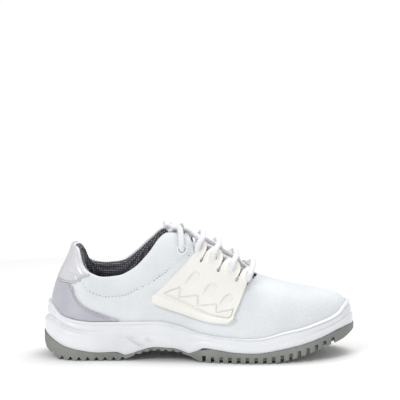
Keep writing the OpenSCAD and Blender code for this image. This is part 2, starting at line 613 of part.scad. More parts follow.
lace_r = lace_d / 2;
lace_gap = 0.4;
function tab_share(row) = (row + 0.44) / 4;
function over_tab(side, row, up) = wing_point(side, tab_share(row), up,
    cover_depth + wing_t + lace_r + lace_gap);
function under_tab(side, row, up) = wing_point(side, tab_share(row), up,
    cover_depth - lace_r - lace_gap);
// The middle of a crossing between two rows, over or under the other strand
function crossing(row, lift) =
    let (s = (hole_share(tab_share(row)) + hole_share(tab_share(max(0, row - 1)))) / 2)
    [edge_x(s, 0), centre(s), ridge(s) + upper_depth - 3 + lift * (lace_r + 0.2)];
// One half of the lace, from its middle at the front to the knot, starting on one side
function crossing_run(side, row) = [over_tab(side, row, 1), over_tab(side, row, hole_level),
    under_tab(side, row, hole_level), under_tab(side, row, 1.02)];
knot_size = [17, 15, 11];
knot_gap = 2.4;
function knot_middle() = [edge_x(0.417, 0), centre(0.417),
    ridge(0.417) + tongue_depth + knot_size[2] / 2 + knot_gap];
function half_lace(side) =
    concat(crossing_run(side, 3), [crossing(3, side)],
        crossing_run(-side, 2), [crossing(2, -side)],
        crossing_run(side, 1), [crossing(1, side)],
        crossing_run(-side, 0),
        [[edge_x(0.462, 0), centre(0.462), ridge(0.462) + upper_depth - 3
            + side * (lace_r + 0.2)],
        skin(0.452, side, (eyelet_turn(side) + 90) / 2, foot_depth - lace_r - lace_gap),
        skin(eyelet_share, side, eyelet_turn(side) + 4, foot_depth - lace_r - lace_gap),
        skin(eyelet_share, side, eyelet_turn(side), upper_depth - 2),
        skin(eyelet_share, side, eyelet_turn(side) + 2, upper_depth + eyelet_rise + lace_r + 0.6),
        skin(eyelet_share - 0.006, side, top_turn(eyelet_share, side) + 1,
            upper_depth + lace_r + 1.4),
        knot_middle() + [2, side * knot_size[1] * 0.5, 1]]);
LACE_MIDDLE = [edge_x(0.668, 0), centre(0.668), ridge(0.668) + upper_depth + lace_r + 0.6];
LACE_ROUTE = concat([for (k = [len(half_lace(-1)) - 1:-1:0]) half_lace(-1)[k]], [LACE_MIDDLE],
    half_lace(1));

// A smooth curve through the points of a route, with some steps in each stretch
function bend(p, i, t) =
    let (a = p[max(i - 1, 0)], b = p[i], c = p[i + 1], d = p[min(i + 2, len(p) - 1)])
    0.5 * (2 * b + (c - a) * t + (2 * a - 5 * b + 4 * c - d) * t ^ 2
        + (3 * b - a - 3 * c + d) * t ^ 3);
function smooth(p, parts) = concat(
    [for (i = [0:len(p) - 2], k = [0:parts - 1]) bend(p, i, k / parts)], [p[len(p) - 1]]);
function unit(v) = v / norm(v);
function carried(side, along) = unit(side - along * (side * along));
function frames(p, i = 0, side = [0.3, 0.2, 1]) = i >= len(p) ? [] :
    let (along = unit(p[min(i + 1, len(p) - 1)] - p[max(i - 1, 0)]), s = carried(side, along))
    concat([[s, cross(along, s)]], frames(p, i + 1, s));
// A round cord along a route
module cord(route, d, sides = 8) {
    f = frames(route);
    last = len(route) - 1;
    points = [for (i = [0:last], k = [0:sides - 1]) let (a = 360 * k / sides)
        route[i] + d / 2 * (cos(a) * f[i][0] + sin(a) * f[i][1])];
    function at(i, k) = i * sides + k % sides;
    faces = concat([for (i = [0:last - 1], k = [0:sides - 1])
            each quad(at(i, k), at(i + 1, k), at(i + 1, k + 1), at(i, k + 1))],
        [[for (k = [0:sides - 1]) at(0, k)]], [[for (k = [sides - 1:-1:0]) at(last, k)]]);
    polyhedron(points, faces, convexity = 10);
}

// The two loose ends hang over the big-toe side of the shoe
tail_shares = [0.378, 0.402];
tail_drops = [38, 30];
aglet_l = 18;
aglet_d = 3.4;
function tail_point(k, drop) = let (s = tail_shares[k])
    skin(s, 1, turn_at(s, instep_height - drop), upper_depth + lace_r + 0.5);
function tail_route(k) = let (start = knot_middle() + [6 * k - 6, knot_size[1] * 0.5, 0])
    [start, skin(tail_shares[k], 1, top_turn(tail_shares[k], 1) + 2, upper_depth + lace_r + 1.2),
        tail_point(k, 6), tail_point(k, 13), tail_point(k, tail_drops[k] - aglet_l * 0.4)];
module lace() {
    color("#f1f0f7") {
        cord(smooth(LACE_ROUTE, 2), lace_d);
        for (k = [0, 1]) cord(smooth(tail_route(k), 2), lace_d * 0.9);
    }
}
module lace_knot() {
    color("#f1f0f7") translate(knot_middle()) hull() {
        for (k = [-1, 1]) translate([k * (knot_size[0] - knot_size[2]) / 2, 0, 0])
            rotate([90, 0, 0]) cylinder(d = knot_size[2], h = knot_size[1] - 4, center = true,
                $fn = 24);
        rotate([90, 0, 0]) cylinder(d = knot_size[2] - 4, h = knot_size[1] - 1, center = true,
            $fn = 24);
    }
}
module aglets() {
    color("#f7f7fa") for (k = [0, 1]) {
        route = tail_route(k);
        last = route[len(route) - 1];
        n = unit(last - route[len(route) - 2]);
        translate(last + n * 0.1) rotate([0, acos(n[2]), atan2(n[1], n[0])])
            cylinder(d = aglet_d, h = aglet_l, $fn = 24);
    }
}

outsole();
midsole();
shank();
insole_board();
footbed_foam();
footbed_cloth();
upper();
vamp_lining();
collar_lining();
collar_foam();
toe_puff();
heel_counter();
heel_cover();
heel_tab();
tongue_skin();
tongue_foam();
tongue_lining();
facing_lateral();
facing_medial();
lace_wing_lateral();
lace_wing_medial();
eyelet_lateral();
eyelet_medial();
lace();
lace_knot();
aglets();
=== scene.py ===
# %% [markdown]
# # A golf shoe, dressed piece by piece
# The frame gives the shoe's working pieces at their real size. This lesson dresses them:
# each visible piece is rebuilt finer over the same form, and each surface gets the finish
# that its real material has. Sizes are in millimetres until a mesh is made.

# %% Load the frame
import math

import bmesh
import bpy
from mathutils import Matrix, Vector


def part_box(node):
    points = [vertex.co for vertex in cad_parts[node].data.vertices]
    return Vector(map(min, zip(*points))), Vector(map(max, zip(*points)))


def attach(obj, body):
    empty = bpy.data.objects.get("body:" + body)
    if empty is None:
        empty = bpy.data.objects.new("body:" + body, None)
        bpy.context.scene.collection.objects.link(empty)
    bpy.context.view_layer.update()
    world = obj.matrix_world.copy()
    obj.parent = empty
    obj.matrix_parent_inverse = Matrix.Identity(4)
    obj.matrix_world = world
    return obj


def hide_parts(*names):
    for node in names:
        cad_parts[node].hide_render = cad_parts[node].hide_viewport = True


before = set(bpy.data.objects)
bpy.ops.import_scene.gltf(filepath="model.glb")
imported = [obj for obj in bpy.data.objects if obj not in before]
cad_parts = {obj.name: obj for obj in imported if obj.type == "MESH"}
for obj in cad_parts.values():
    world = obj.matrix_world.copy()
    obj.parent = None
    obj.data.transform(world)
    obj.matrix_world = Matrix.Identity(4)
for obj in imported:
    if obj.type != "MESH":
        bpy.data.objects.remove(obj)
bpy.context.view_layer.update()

MM = 0.001

# %% [markdown]
# ## Camera, floor and light
# A product picture of a shoe is taken from far away with a long lens, a little above the
# ground, so that nothing looks stretched. The shoe stands low in a square frame, so the
# camera aims above it and needs no lens shift.

# %% Camera
lens, sensor_width = 150, 36
frame_width = 0.3845
aim = Vector((0.0005, 0, 0.1492))
elevation = math.radians(7)
distance = frame_width * lens / sensor_width

camera_data = bpy.data.cameras.new("camera")
camera_data.lens = lens
camera_data.sensor_width = sensor_width
camera_data.clip_end = 20
camera = bpy.data.objects.new("camera", camera_data)
bpy.context.scene.collection.objects.link(camera)
camera.location = aim + distance * Vector((0, -math.cos(elevation), math.sin(elevation)))
camera.rotation_euler = (math.pi / 2 - elevation, 0, 0)
bpy.context.scene.camera = camera
print("camera is", round(camera.location.length, 2), "m away")

# %% [markdown]
# Large, close lamps make soft shadows. One hangs over the toe side, one stands in front on
# the heel side, and a white sky fills the rest. The floor is a round white board, about four
# times as wide as the shoe is long. Behind it the camera sees plain white paper, which is
# brighter than the sky that lights the shoe, so camera rays get a brightness of their own.

# %% Floor and lamps
def nothing_selected():
    if bpy.context.object and bpy.context.object.mode != "OBJECT":
        bpy.ops.object.mode_set(mode="OBJECT")
    bpy.ops.object.select_all(action="DESELECT")


def lamp(name, place, target, size, power):
    nothing_selected()
    bpy.ops.object.light_add(type="AREA", location=place)
    light = bpy.context.object
    light.name = name
    light.data.size = size
    light.data.energy = power
    light.rotation_euler = (Vector(target) - Vector(place)).to_track_quat("-Z", "Y").to_euler()


nothing_selected()
bpy.ops.mesh.primitive_circle_add(vertices=128, radius=0.62, fill_type="NGON")
floor = bpy.context.object
floor.name = "floor"
lamp("over", (0.25, 0.25, 1.0), (0, 0, 0.05), 0.7, 5.6)
lamp("front", (-0.75, -1.1, 0.95), (0, 0, 0.06), 0.5, 7.2)

# %% Sky and backdrop
sky_light, backdrop_light = 0.66, 1.02
world = bpy.data.worlds.new("sky")
world.use_nodes = True
nodes, links = world.node_tree.nodes, world.node_tree.links
either = nodes.new("ShaderNodeMixShader")
links.new(nodes.new("ShaderNodeLightPath").outputs["Is Camera Ray"], either.inputs[0])
for slot, paper, light in ((1, nodes["Background"], sky_light),
                           (2, nodes.new("ShaderNodeBackground"), backdrop_light)):
    paper.inputs["Color"].default_value = (1, 1, 1, 1)
    paper.inputs["Strength"].default_value = light
    links.new(paper.outputs[0], either.inputs[slot])
links.new(either.outputs[0], nodes["World Output"].inputs[0])
bpy.context.scene.world = world
bpy.context.scene.view_settings.view_transform = "Standard"
print("the sky gives", sky_light, "and the paper", backdrop_light)

# %% [markdown]
# ## The last
# A shoe is made over a last, a solid form of the foot. Every layer of this shoe follows one
# last, so the last comes first: a few stations along the shoe give its width, its bed and
# its ridge, and smooth lines run through them. A line never swings past its stations.

# %% Smooth lines through stations
class Line:
    def __init__(self, *stations):
        self.x = [s[0] for s in stations]
        self.y = [s[1] for s in stations]
        count = len(stations) - 1
        rises = [(self.y[i + 1] - self.y[i]) / (self.x[i + 1] - self.x[i]) for i in range(count)]
        pairs = zip([rises[0]] + rises, rises + [rises[-1]])
        self.slopes = [0 if a * b <= 0 else 2 * a * b / (a + b) for a, b in pairs]

    def __call__(self, x):
        i = 0
        while i < len(self.x) - 2 and x >= self.x[i + 1]:
            i += 1
        width = self.x[i + 1] - self.x[i]
        t = min(max((x - self.x[i]) / width, 0), 1)
        return (self.y[i] * (2 * t**3 - 3 * t**2 + 1) + self.y[i + 1] * (3 * t**2 - 2 * t**3)
                + self.slopes[i] * width * (t**3 - 2 * t**2 + t)
                + self.slopes[i + 1] * width * (t**3 - t**2))


def lerp(a, b, t):
    return a + (b - a) * t


def ease(t):
    t = min(1, max(0, t))
    return t * t * (3 - 2 * t)


def bump(x, middle, spread):
    return math.exp(-((x - middle) / spread) ** 2)


def steps(start, end, count):
    return [lerp(start, end, i / count) for i in range(count + 1)]


def crowded(start, end, count):
    """Shares along the shoe that crowd together at the heel and the toe."""
    angles = steps(math.acos(1 - 2 * start), math.acos(1 - 2 * end), count)
    return [(1 - math.cos(a)) / 2 for a in angles]


# %% The last's widths, bed and ridge
sole_low, sole_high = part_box("outsole")
shoe_length = (sole_high.x - sole_low.x) / MM
half_length = shoe_length / 2
ball_width, waist_width, heel_width = 107, 76, 77
tab_height, instep_height, toe_height = 107, 119, 60
deck_heel, deck_ball, deck_toe = 26, 13, 27
upper_depth, outer_t, layer_gap = -3.5, 1.6, 0.3
lining_depth = upper_depth - outer_t - 1.2 - 2 * layer_gap
foot_depth = lining_depth - 1
tongue_depth = foot_depth - 8
cover_depth = upper_depth + layer_gap
seat = 0.3
fullness = 2.4

half_widths = Line((0, heel_width / 2 - 1), (0.13, heel_width / 2), (0.28, heel_width / 2 - 1),
                   (0.42, waist_width / 2), (0.56, (waist_width + ball_width) / 4 + 2),
                   (0.68, ball_width / 2), (0.82, ball_width / 2 - 2), (1, ball_width / 2 - 8))
centre = Line((0, -0.8), (0.2, -0.3), (0.42, -2.8), (0.64, -0.8), (0.85, 3.2), (1, 8.2))
deck = Line((0, deck_heel + 1), (0.2, deck_heel), (0.4, deck_heel - 3), (0.55, deck_ball + 4),
            (0.67, deck_ball), (0.8, deck_ball + 4), (0.9, deck_toe - 2), (1, deck_toe + 4))
ridge = Line((0, tab_height + 45), (0.22, tab_height + 43), (0.31, instep_height + 19),
             (0.37, instep_height + 14), (0.433, instep_height + 10), (0.5, instep_height),
             (0.567, instep_height - 13), (0.62, instep_height - 24), (0.68, toe_height + 22),
             (0.75, toe_height + 15.5), (0.84, toe_height + 10), (0.93, toe_height + 6.5),
             (1, toe_height + 4))
back_lean = Line((15, 0), (24, 1.5), (40, 3), (52, 4.5), (69, 8.6), (82, 14), (91, 18.5),
                 (104, 24), (116, 27))


# %% A point of the last
def half_width(s, depth):
    heel = 1 if s >= 0.13 else math.sqrt(max(0, 1 - (1 - s / 0.13) ** 2))
    toe = 1 if s <= 0.72 else max(0, 1 - ((s - 0.72) / 0.28) ** 2.2) ** (1 / 2.2)
    return (half_widths(s) + depth) * heel * toe


def edge_x(s, depth):
    return -half_length - depth + s * (shoe_length + 2 * depth)


def deck_at(x):
    return deck(x / shoe_length + 0.5)


def skin(s, side, turn, depth):
    """The last at a share along it. Turn 0 is at the deck and 90 on the ridge."""
    rise = max(0, math.sin(math.radians(turn))) ** (2 / fullness)
    spread = max(0, math.cos(math.radians(turn))) ** (2 / fullness)
    low = deck_at(edge_x(s, depth)) + seat
    z = low + (ridge(s) + depth - low) * rise
    roll_back = 26 * max(0, (s - 0.7) / 0.3) ** 1.5 * (1 - spread)
    x = edge_x(s, depth) + back_lean(z) * (1 - s) ** 4 - roll_back
    return Vector((x, centre(s) + side * half_width(s, depth) * spread, z))


def turn_at(s, z):
    low = deck_at(edge_x(s, upper_depth)) + seat
    share = min(1, max(0, (z - low) / (ridge(s) + upper_depth - low)))
    return math.degrees(math.asin(share ** (fullness / 2)))


def outward(s, side, turn, depth=upper_depth):
    along = skin(s + 0.005, side, turn, depth) - skin(s - 0.005, side, turn, depth)
    up = skin(s, side, turn + 2, depth) - skin(s, side, turn - 2, depth)
    return -side * along.cross(up).normalized()


print("the last is", round(shoe_length), "mm long and", round(2 * half_width(0.68, 0)), "mm wide")

# %% [markdown]
# ## Finishes
# Each finish is a small network of shader nodes. One class wraps a socket, so that shader
# maths reads like plain sums, and another builds the material around it. Patterns read
# Object coordinates, which stay with the piece.

# %% Shader maths
class Link:
    def __init__(self, tree, socket):
        self.tree, self.socket = tree, socket

    def maths(self, operation, *values):
        node = self.tree.nodes.new("ShaderNodeMath")
        node.operation = operation
        for slot, value in zip(node.inputs, values):
            if isinstance(value, Link):
                self.tree.links.new(value.socket, slot)
            else:
                slot.default_value = value
        return Link(self.tree, node.outputs[0])

    def __add__(self, other):
        return self.maths("ADD", self, other)

    def __sub__(self, other):
        return self.maths("SUBTRACT", self, other)

    def __rsub__(self, other):
        return self.maths("SUBTRACT", other, self)

    def __mul__(self, other):
        return self.maths("MULTIPLY", self, other)

    def __gt__(self, other):
        return self.maths("GREATER_THAN", self, other)

    def between(self, low, high):
        """0 under low, 1 over high and smooth between them."""
        node = self.tree.nodes.new("ShaderNodeMapRange")
        node.interpolation_type = "SMOOTHSTEP"
        node.inputs["From Min"].default_value = low
        node.inputs["From Max"].default_value = high
        self.tree.links.new(self.socket, node.inputs["Value"])
        return Link(self.tree, node.outputs["Result"])

    __radd__ = __add__
    __rmul__ = __mul__


class Finish:
    def __init__(self, name, **constants):
        self.material = bpy.data.materials.new(name)
        self.material.use_nodes = True
        self.tree = self.material.node_tree
        self.shader = self.tree.nodes["Principled BSDF"]
        for slot, value in constants.items():
            self.shader.inputs[slot.replace("_", " ")].default_value = value

    def node(self, kind, settings=None, output=0, **values):
        node = self.tree.nodes.new("ShaderNode" + kind)
        for setting, value in (settings or {}).items():
            setattr(node, setting, value)
        for slot, value in values.items():
            self.feed(node.inputs[slot.replace("_", " ")], value)
        return Link(self.tree, node.outputs[output])

    def feed(self, slot, value):
        if isinstance(value, Link):
            self.tree.links.new(value.socket, slot)
        else:
            slot.default_value = value

    def place(self):
        return self.node("TexCoord", output="Object")

    def cells(self, scale, randomness=1.0):
        return self.node("TexVoronoi", Vector=self.place(), Scale=scale, Randomness=randomness)

    def noise(self, scale, detail=3.0, vector=None):
        return self.node("TexNoise", Vector=vector or self.place(), Scale=scale, Detail=detail)

    def mix(self, share, low, high):
        node = self.tree.nodes.new("ShaderNodeMix")
        node.data_type = "RGBA"
        self.feed(node.inputs["Factor"], share)
        self.feed(node.inputs["A"], low)
        self.feed(node.inputs["B"], high)
        return Link(self.tree, node.outputs["Result"])

    def paint(self, colour=None, roughness=None, height=None, relief=0.1, **others):
        """Feeds what varies. The height bumps the surface by relief, in millimetres."""
        if colour is not None:
            self.feed(self.shader.inputs["Base Color"], colour)
        if roughness is not None:
            self.feed(self.shader.inputs["Roughness"], roughness)
        if height is not None:
            normal = self.node("Bump", Height=height, Distance=relief * MM)
            self.feed(self.shader.inputs["Normal"], normal)
        return self.material


def grey(level, warm=0.0, lilac=0.0):
    """A near-grey colour; warm takes blue away, lilac takes green away."""
    return (level * (1 + warm / 2), level * (1 - lilac), level * (1 - warm), 1)


print("shader helpers are ready")

# %% [markdown]
# The upper is microfibre: a cool white sheet pressed with a fine grain of dots. The coated
# panels at the heel are smoother and glossier, and the grey thread that holds them is matt.

# %% Microfibre, coated panels and thread
def microfibre():
    finish = Finish("upper_microfibre", Specular_IOR_Level=0.4)
    grain = finish.cells(780, 0.55).between(0.1, 0.55)
    soft = finish.noise(26, 4)
    fine = finish.noise(2600, 2)
    colour = finish.mix(soft.between(0.35, 0.65), (0.75, 0.78, 0.80, 1), (0.81, 0.84, 0.855, 1))
    colour = finish.mix(grain * 0.22, colour, (0.60, 0.64, 0.68, 1))
    return finish.paint(colour, 0.50 + 0.12 * fine, 1 - grain + 0.3 * fine, 0.16)


def coated(name, light, dark, gloss):
    finish = Finish(name, Specular_IOR_Level=0.55, Coat_Weight=0.5, Coat_Roughness=gloss)
    cloud = finish.noise(38, 3)
    pores = finish.noise(1500, 2)
    colour = finish.mix(cloud.between(0.3, 0.7), dark, light)
    return finish.paint(colour, gloss + 0.16 * cloud + 0.1 * pores, pores + 2 * cloud, 0.05)


def twisted_thread():
    finish = Finish("thread")
    fibre = finish.noise(3200, 3)
    colour = finish.mix(fibre.between(0.3, 0.7), grey(0.26, 0, 0.02), grey(0.44))
    return finish.paint(colour, 0.6 + 0.25 * fibre, fibre, 0.1)


upper_microfibre = microfibre()
counter_gloss = coated("counter_gloss", (0.52, 0.52, 0.585, 1), (0.44, 0.44, 0.50, 1), 0.16)
tab_gloss = coated("tab_gloss", (0.68, 0.68, 0.71, 1), (0.58, 0.58, 0.62, 1), 0.13)
thread = twisted_thread()
print("made", len(bpy.data.materials), "finishes")

# %% [markdown]
# The collar and the tongue are lined with spacer mesh, a thick knit of holes and raised
# yarn. Its holes sit in a near-regular net, so cells with little randomness draw it: pale
# yarn knots on dark ground.

# %% Spacer mesh, knit and foam
def spacer_mesh():
    finish = Finish("mesh_lining", Sheen_Weight=0.25, Sheen_Roughness=0.5)
    knot = finish.cells(470, 0.1)
    yarn = 1 - knot.between(0.16, 0.5)
    fuzz = finish.noise(2200, 3)
    ground = finish.mix(fuzz, (0.018, 0.018, 0.024, 1), (0.06, 0.06, 0.075, 1))
    colour = finish.mix(yarn * (0.55 + 0.45 * fuzz), ground, (0.40, 0.40, 0.45, 1))
    return finish.paint(colour, 0.75 + 0.2 * fuzz, yarn + 0.2 * fuzz, 0.7)


def knit(name, light, dark, pitch, relief=0.25):
    """Rows of small loops, a pitch apart in millimetres."""
    finish = Finish(name, Sheen_Weight=0.15)
    loops = finish.cells(1 / (pitch * MM), 0.2).between(0.1, 0.6)
    fuzz = finish.noise(2600, 3)
    colour = finish.mix(loops * (0.6 + 0.4 * fuzz), light, dark)
    return finish.paint(colour, 0.78 + 0.18 * fuzz, 1 - loops + 0.4 * fuzz, relief)


def open_foam(name, light, dark):
    finish = Finish(name)
    bubbles = finish.cells(900).between(0.05, 0.5)
    cloud = finish.noise(60, 2)
    colour = finish.mix(bubbles, finish.mix(cloud, light, dark), dark)
    return finish.paint(colour, 0.85 + 0.1 * bubbles, 1 - bubbles, 0.3)


mesh_lining = spacer_mesh()
white_lining = knit("white_lining", (0.74, 0.76, 0.78, 1), (0.55, 0.57, 0.6, 1), 1.1)
footbed_cloth = knit("footbed_cloth", (0.085, 0.085, 0.1, 1), (0.03, 0.03, 0.038, 1), 0.9)
facing_tape = knit("facing_tape", (0.72, 0.73, 0.76, 1), (0.58, 0.59, 0.62, 1), 0.7)
padding_foam = open_foam("padding_foam", (0.78, 0.74, 0.5, 1), (0.66, 0.6, 0.36, 1))
footbed_foam = open_foam("footbed_foam", (0.15, 0.16, 0.18, 1), (0.09, 0.095, 0.11, 1))
print("made", len(bpy.data.materials), "finishes")

# %% [markdown]
# The sole has two moulded materials: a satin white foam with a slight orange peel, and grey
# rubber, dull and dusty, with painted shade darkening its grooves and hollows. The lace wing
# is a softer, warmer moulding.

# %% Moulded foam and rubber
def moulded(name, light, dark, roughness, peel, relief, **constants):
    """A cloud of two shades; peel is the scale of the grain and relief its height."""
    finish = Finish(name, **constants)
    skin_grain = finish.noise(peel, 3)
    cloud = finish.noise(18, 4)
    colour = finish.mix(cloud.between(0.35, 0.68), dark, light)
    return finish.paint(colour, roughness - 0.08 + 0.2 * skin_grain, skin_grain, relief)


def grooved_rubber():
    finish = Finish("rubber_tread", Specular_IOR_Level=0.45)
    dust = finish.noise(30, 5)
    grit = finish.noise(1100, 3)
    # Painted shade: where the surface curves inwards, in grooves and hollows, the rubber's colour
    # is pulled to a near-black grey.
    painted_groove_shade = finish.node("NewGeometry", output="Pointiness").between(0.40, 0.50)
    colour = finish.mix(dust.between(0.3, 0.7), (0.205, 0.215, 0.195, 1), (0.265, 0.275, 0.255, 1))
    colour = finish.mix(painted_groove_shade, (0.13, 0.135, 0.125, 1), colour)
    return finish.paint(colour, 0.48 + 0.3 * grit, grit + dust, 0.12)


midsole_foam = moulded("midsole_foam", (0.82, 0.835, 0.86, 1), (0.76, 0.775, 0.80, 1), 0.34,
                       700, 0.05, Coat_Weight=0.12, Coat_Roughness=0.25)
wing_rubber = moulded("wing_rubber", (0.90, 0.89, 0.85, 1), (0.85, 0.84, 0.795, 1), 0.42,
                      900, 0.05)
eyelet_plastic = moulded("eyelet_plastic", (0.84, 0.87, 0.88, 1), (0.78, 0.81, 0.83, 1), 0.3,
                         1200, 0.03, Coat_Weight=0.3)
aglet_plastic = moulded("aglet_plastic", (0.88, 0.88, 0.92, 1), (0.8, 0.8, 0.86, 1), 0.2,
                        800, 0.03, Coat_Weight=0.6)
stiffener = moulded("stiffener", (0.70, 0.60, 0.40, 1), (0.6, 0.5, 0.33, 1), 0.6, 500, 0.15)
fibre_board = moulded("fibre_board", (0.64, 0.50, 0.34, 1), (0.5, 0.38, 0.25, 1), 0.8, 350, 0.2)
shank_steel = moulded("shank_steel", (0.57, 0.58, 0.60, 1), (0.42, 0.43, 0.45, 1), 0.35,
                      900, 0.03, Metallic=1.0)
rubber_tread = grooved_rubber()
print("made", len(bpy.data.materials), "finishes")

# %% [markdown]
# The lace is a fine oval braid, white with a breath of lilac, with a darker fleck here and
# there. The braid itself is in the lace's mesh, so its finish only needs yarn fuzz.

# %% Braid
def braid():
    finish = Finish("lace_cord", Sheen_Weight=0.2)
    fuzz = finish.noise(2400, 3)
    fleck = finish.cells(420, 1.0).between(0.06, 0.13)
    colour = finish.mix(fuzz, (0.76, 0.765, 0.79, 1), (0.87, 0.87, 0.89, 1))
    colour = finish.mix(fleck, (0.45, 0.45, 0.55, 1), colour)
    return finish.paint(colour, 0.62 + 0.25 * fuzz, fuzz, 0.12)


def plain_floor():
    return Finish("floor", Specular_IOR_Level=0.1).paint(grey(0.93), 0.9)


lace_cord = braid()
floor.data.materials.append(plain_floor())
print("made", len(bpy.data.materials), "finishes")

# %% [markdown]
# ## Sheets over the last
# The upper, its panels and its linings are sheets. Each starts as a flat grid, and every
# point of the grid is laid on the last at its own share along and up. The sheet then gets
# its thickness and round edges from modifiers, as a skiver would thin the edge by hand.

# %% Helpers for pieces
def laid_grid(name, columns, rows, place):
    """A grid whose point at (u, v), both 0 to 1, lies at place(u, v) in millimetres."""
    nothing_selected()
    bpy.ops.mesh.primitive_grid_add(x_subdivisions=columns, y_subdivisions=rows, size=2)
    sheet = bpy.context.object
    sheet.name = name
    for vertex in sheet.data.vertices:
        u, v = (vertex.co.x + 1) / 2, (vertex.co.y + 1) / 2
        vertex.co = place(u, v) * MM
    return sheet


def choose(piece):
    """Makes the piece the active one and the only one selected."""
    nothing_selected()
    piece.select_set(True)
    bpy.context.view_layer.objects.active = piece


def open_mesh(piece):
    """Goes into edit mode with all of the piece selected."""
    choose(piece)
    bpy.ops.object.mode_set(mode="EDIT")
    bpy.ops.mesh.select_all(action="SELECT")


def sew(piece, distance=0.02):
    """Joins points that lie within the distance of each other, in millimetres."""
    open_mesh(piece)
    bpy.ops.mesh.remove_doubles(threshold=distance * MM)
    bpy.ops.object.mode_set(mode="OBJECT")


def apply(piece, kind, **settings):
    """Adds a modifier with its settings and applies it."""
    choose(piece)
    modifier = piece.modifiers.new(kind.lower(), kind)
    for setting, value in settings.items():
        setattr(modifier, setting, value)
    bpy.ops.object.modifier_apply(modifier=modifier.name)


def thicken(piece, thickness, edge=0.4, segments=2):
    """Adds the thickness on the inner side and rounds the rim."""
    apply(piece, "SOLIDIFY", thickness=thickness * MM, offset=-1, use_even_offset=False)
    apply(piece, "BEVEL", width=edge * MM, segments=segments, limit_method="ANGLE",
          angle_limit=math.radians(50), use_clamp_overlap=True)


def finished(piece, body, slot, material, *replaced, smooth=40):
    """Smooths the piece, gives it its finish and ties it to its body."""
    choose(piece)
    bpy.ops.object.shade_smooth_by_angle(angle=math.radians(smooth))
    piece.data.materials.clear()
    piece.data.materials.append(material)
    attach(piece, body)
    if replaced:
        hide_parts(*replaced)
    print(piece.name, "has", len(piece.data.polygons), "faces")
    return piece


# %% [markdown]
# ## The upper
# One sheet makes the vamp, the quarters and the collar. Its top line dips under the ankle,
# rises to the eyelets and drops again along the throat. Between the collar's stitched seam
# and its edge the padding swells the sheet outwards, and the seam itself pulls it in.

# %% The upper's lines
throat_end = 0.69
top_line = Line((0, tab_height), (0.02, tab_height - 1), (0.045, tab_height - 8),
                (0.07, tab_height - 16), (0.11, tab_height - 23.5), (0.165, tab_height - 27.4),
                (0.22, tab_height - 26), (0.27, tab_height - 19), (0.32, instep_height - 16),
                (0.355, instep_height - 3), (0.38, instep_height + 1), (0.43, instep_height),
                (0.46, instep_height - 3), (0.485, instep_height - 24),
                (0.55, instep_height - 32), (0.6, instep_height - 41),
                (0.64, instep_height - 47), (0.66, instep_height - 46),
                (0.675, instep_height - 43), (throat_end, toe_height + 18))
collar_seam = Line((0.02, 84), (0.06, 82), (0.088, 76), (0.114, 69), (0.147, 64), (0.195, 61),
                   (0.247, 62.5), (0.283, 67.4), (0.335, 75), (0.381, 84.6), (0.417, 92.5),
                   (0.452, 99), (0.468, 101))
ridge_turn = 88


def top_turn(s, side):
    if s >= throat_end:
        return ridge_turn
    medial_rise = 5 * bump(s, 0.17, 0.07) + 9.5 * bump(s, 0.29, 0.065)
    return min(ridge_turn, turn_at(s, top_line(s) + (medial_rise if side > 0 else 0)))


def collar_puff(s, z):
    """How far the padding lifts the sheet, in millimetres."""
    above = z - collar_seam(s)
    reach = max(6, top_line(s) - collar_seam(s))
    swelling = 1.7 * math.sin(math.pi * min(1, max(0, above / reach))) ** 0.7
    return (swelling - 0.7 * bump(above, 0, 1.1)) * ease((0.47 - s) / 0.02) * ease(s / 0.05)


# %% Lay the upper
SHARES = crowded(0, 1, 150)
SHARES = sorted(set(SHARES + [0.462, 0.466, 0.472, 0.478, throat_end, throat_end + 0.0008]))


HALF_ROWS = 34


def upper_point(u, v):
    s = SHARES[round(u * (len(SHARES) - 1))]
    row = round(v * (2 * HALF_ROWS + 1))
    side, up = (-1, row) if row <= HALF_ROWS else (1, 2 * HALF_ROWS + 1 - row)
    turn = top_turn(s, side) * (up / HALF_ROWS) ** 0.92
    low = skin(s, side, turn, upper_depth)
    return skin(s, side, turn, upper_depth + collar_puff(s, low.z))


upper = laid_grid("upper_shell", len(SHARES) - 1, 2 * HALF_ROWS + 1, upper_point)

# Behind the throat's end nothing bridges the two sides
mesh = bmesh.new()
mesh.from_mesh(upper.data)
columns = len(SHARES)
bridges = [f for f in mesh.faces
           if {v.index // columns for v in f.verts} == {HALF_ROWS, HALF_ROWS + 1}
           and min(SHARES[v.index % columns] for v in f.verts) < throat_end - 0.0001]
bmesh.ops.delete(mesh, geom=bridges, context="FACES")
mesh.to_mesh(upper.data)
mesh.free()
sew(upper)
print("upper sheet with", len(bridges), "faces taken out of the throat")

# %% [markdown]
# The eyelet holes are punched through the sheet after it has its thickness, with the same
# drum that a punch has. The drum stands along the sheet's own normal.

# %% Punch and finish the upper
eyelet_share, eyelet_hole_d = 0.435, 6.4
eyelet_turn_share = 0.74


def eyelet_place(side, depth=upper_depth):
    turn = top_turn(eyelet_share, side) * eyelet_turn_share
    return skin(eyelet_share, side, turn, depth), outward(eyelet_share, side, turn)


def drum(name, middle, normal, radius, height, sides=48):
    """A closed cylinder across the sheet, in millimetres."""
    nothing_selected()
    bpy.ops.mesh.primitive_cylinder_add(vertices=sides, radius=radius * MM, depth=height * MM,
                                        location=middle * MM,
                                        rotation=normal.to_track_quat("Z", "Y").to_euler())
    cutter = bpy.context.object
    cutter.name = name
    bpy.ops.object.transform_apply(location=True, rotation=True, scale=True)
    return cutter


def punch(piece, cutters, solver="EXACT"):
    """Cuts the drums out of the piece and removes them.

    The exact solver loses a lace wing, whose sheet crosses itself near the throat. The fast
    one keeps it, but leaves open edges round some of its holes.
    """
    for cutter in cutters:
        apply(piece, "BOOLEAN", object=cutter, operation="DIFFERENCE", solver=solver)
        bpy.data.objects.remove(cutter)


thicken(upper, outer_t)
punch(upper, [drum("punch", *eyelet_place(side), eyelet_hole_d / 2 + 1, 12) for side in (-1, 1)])
finished(upper, "shoe", "upper_microfibre", upper_microfibre, "upper")

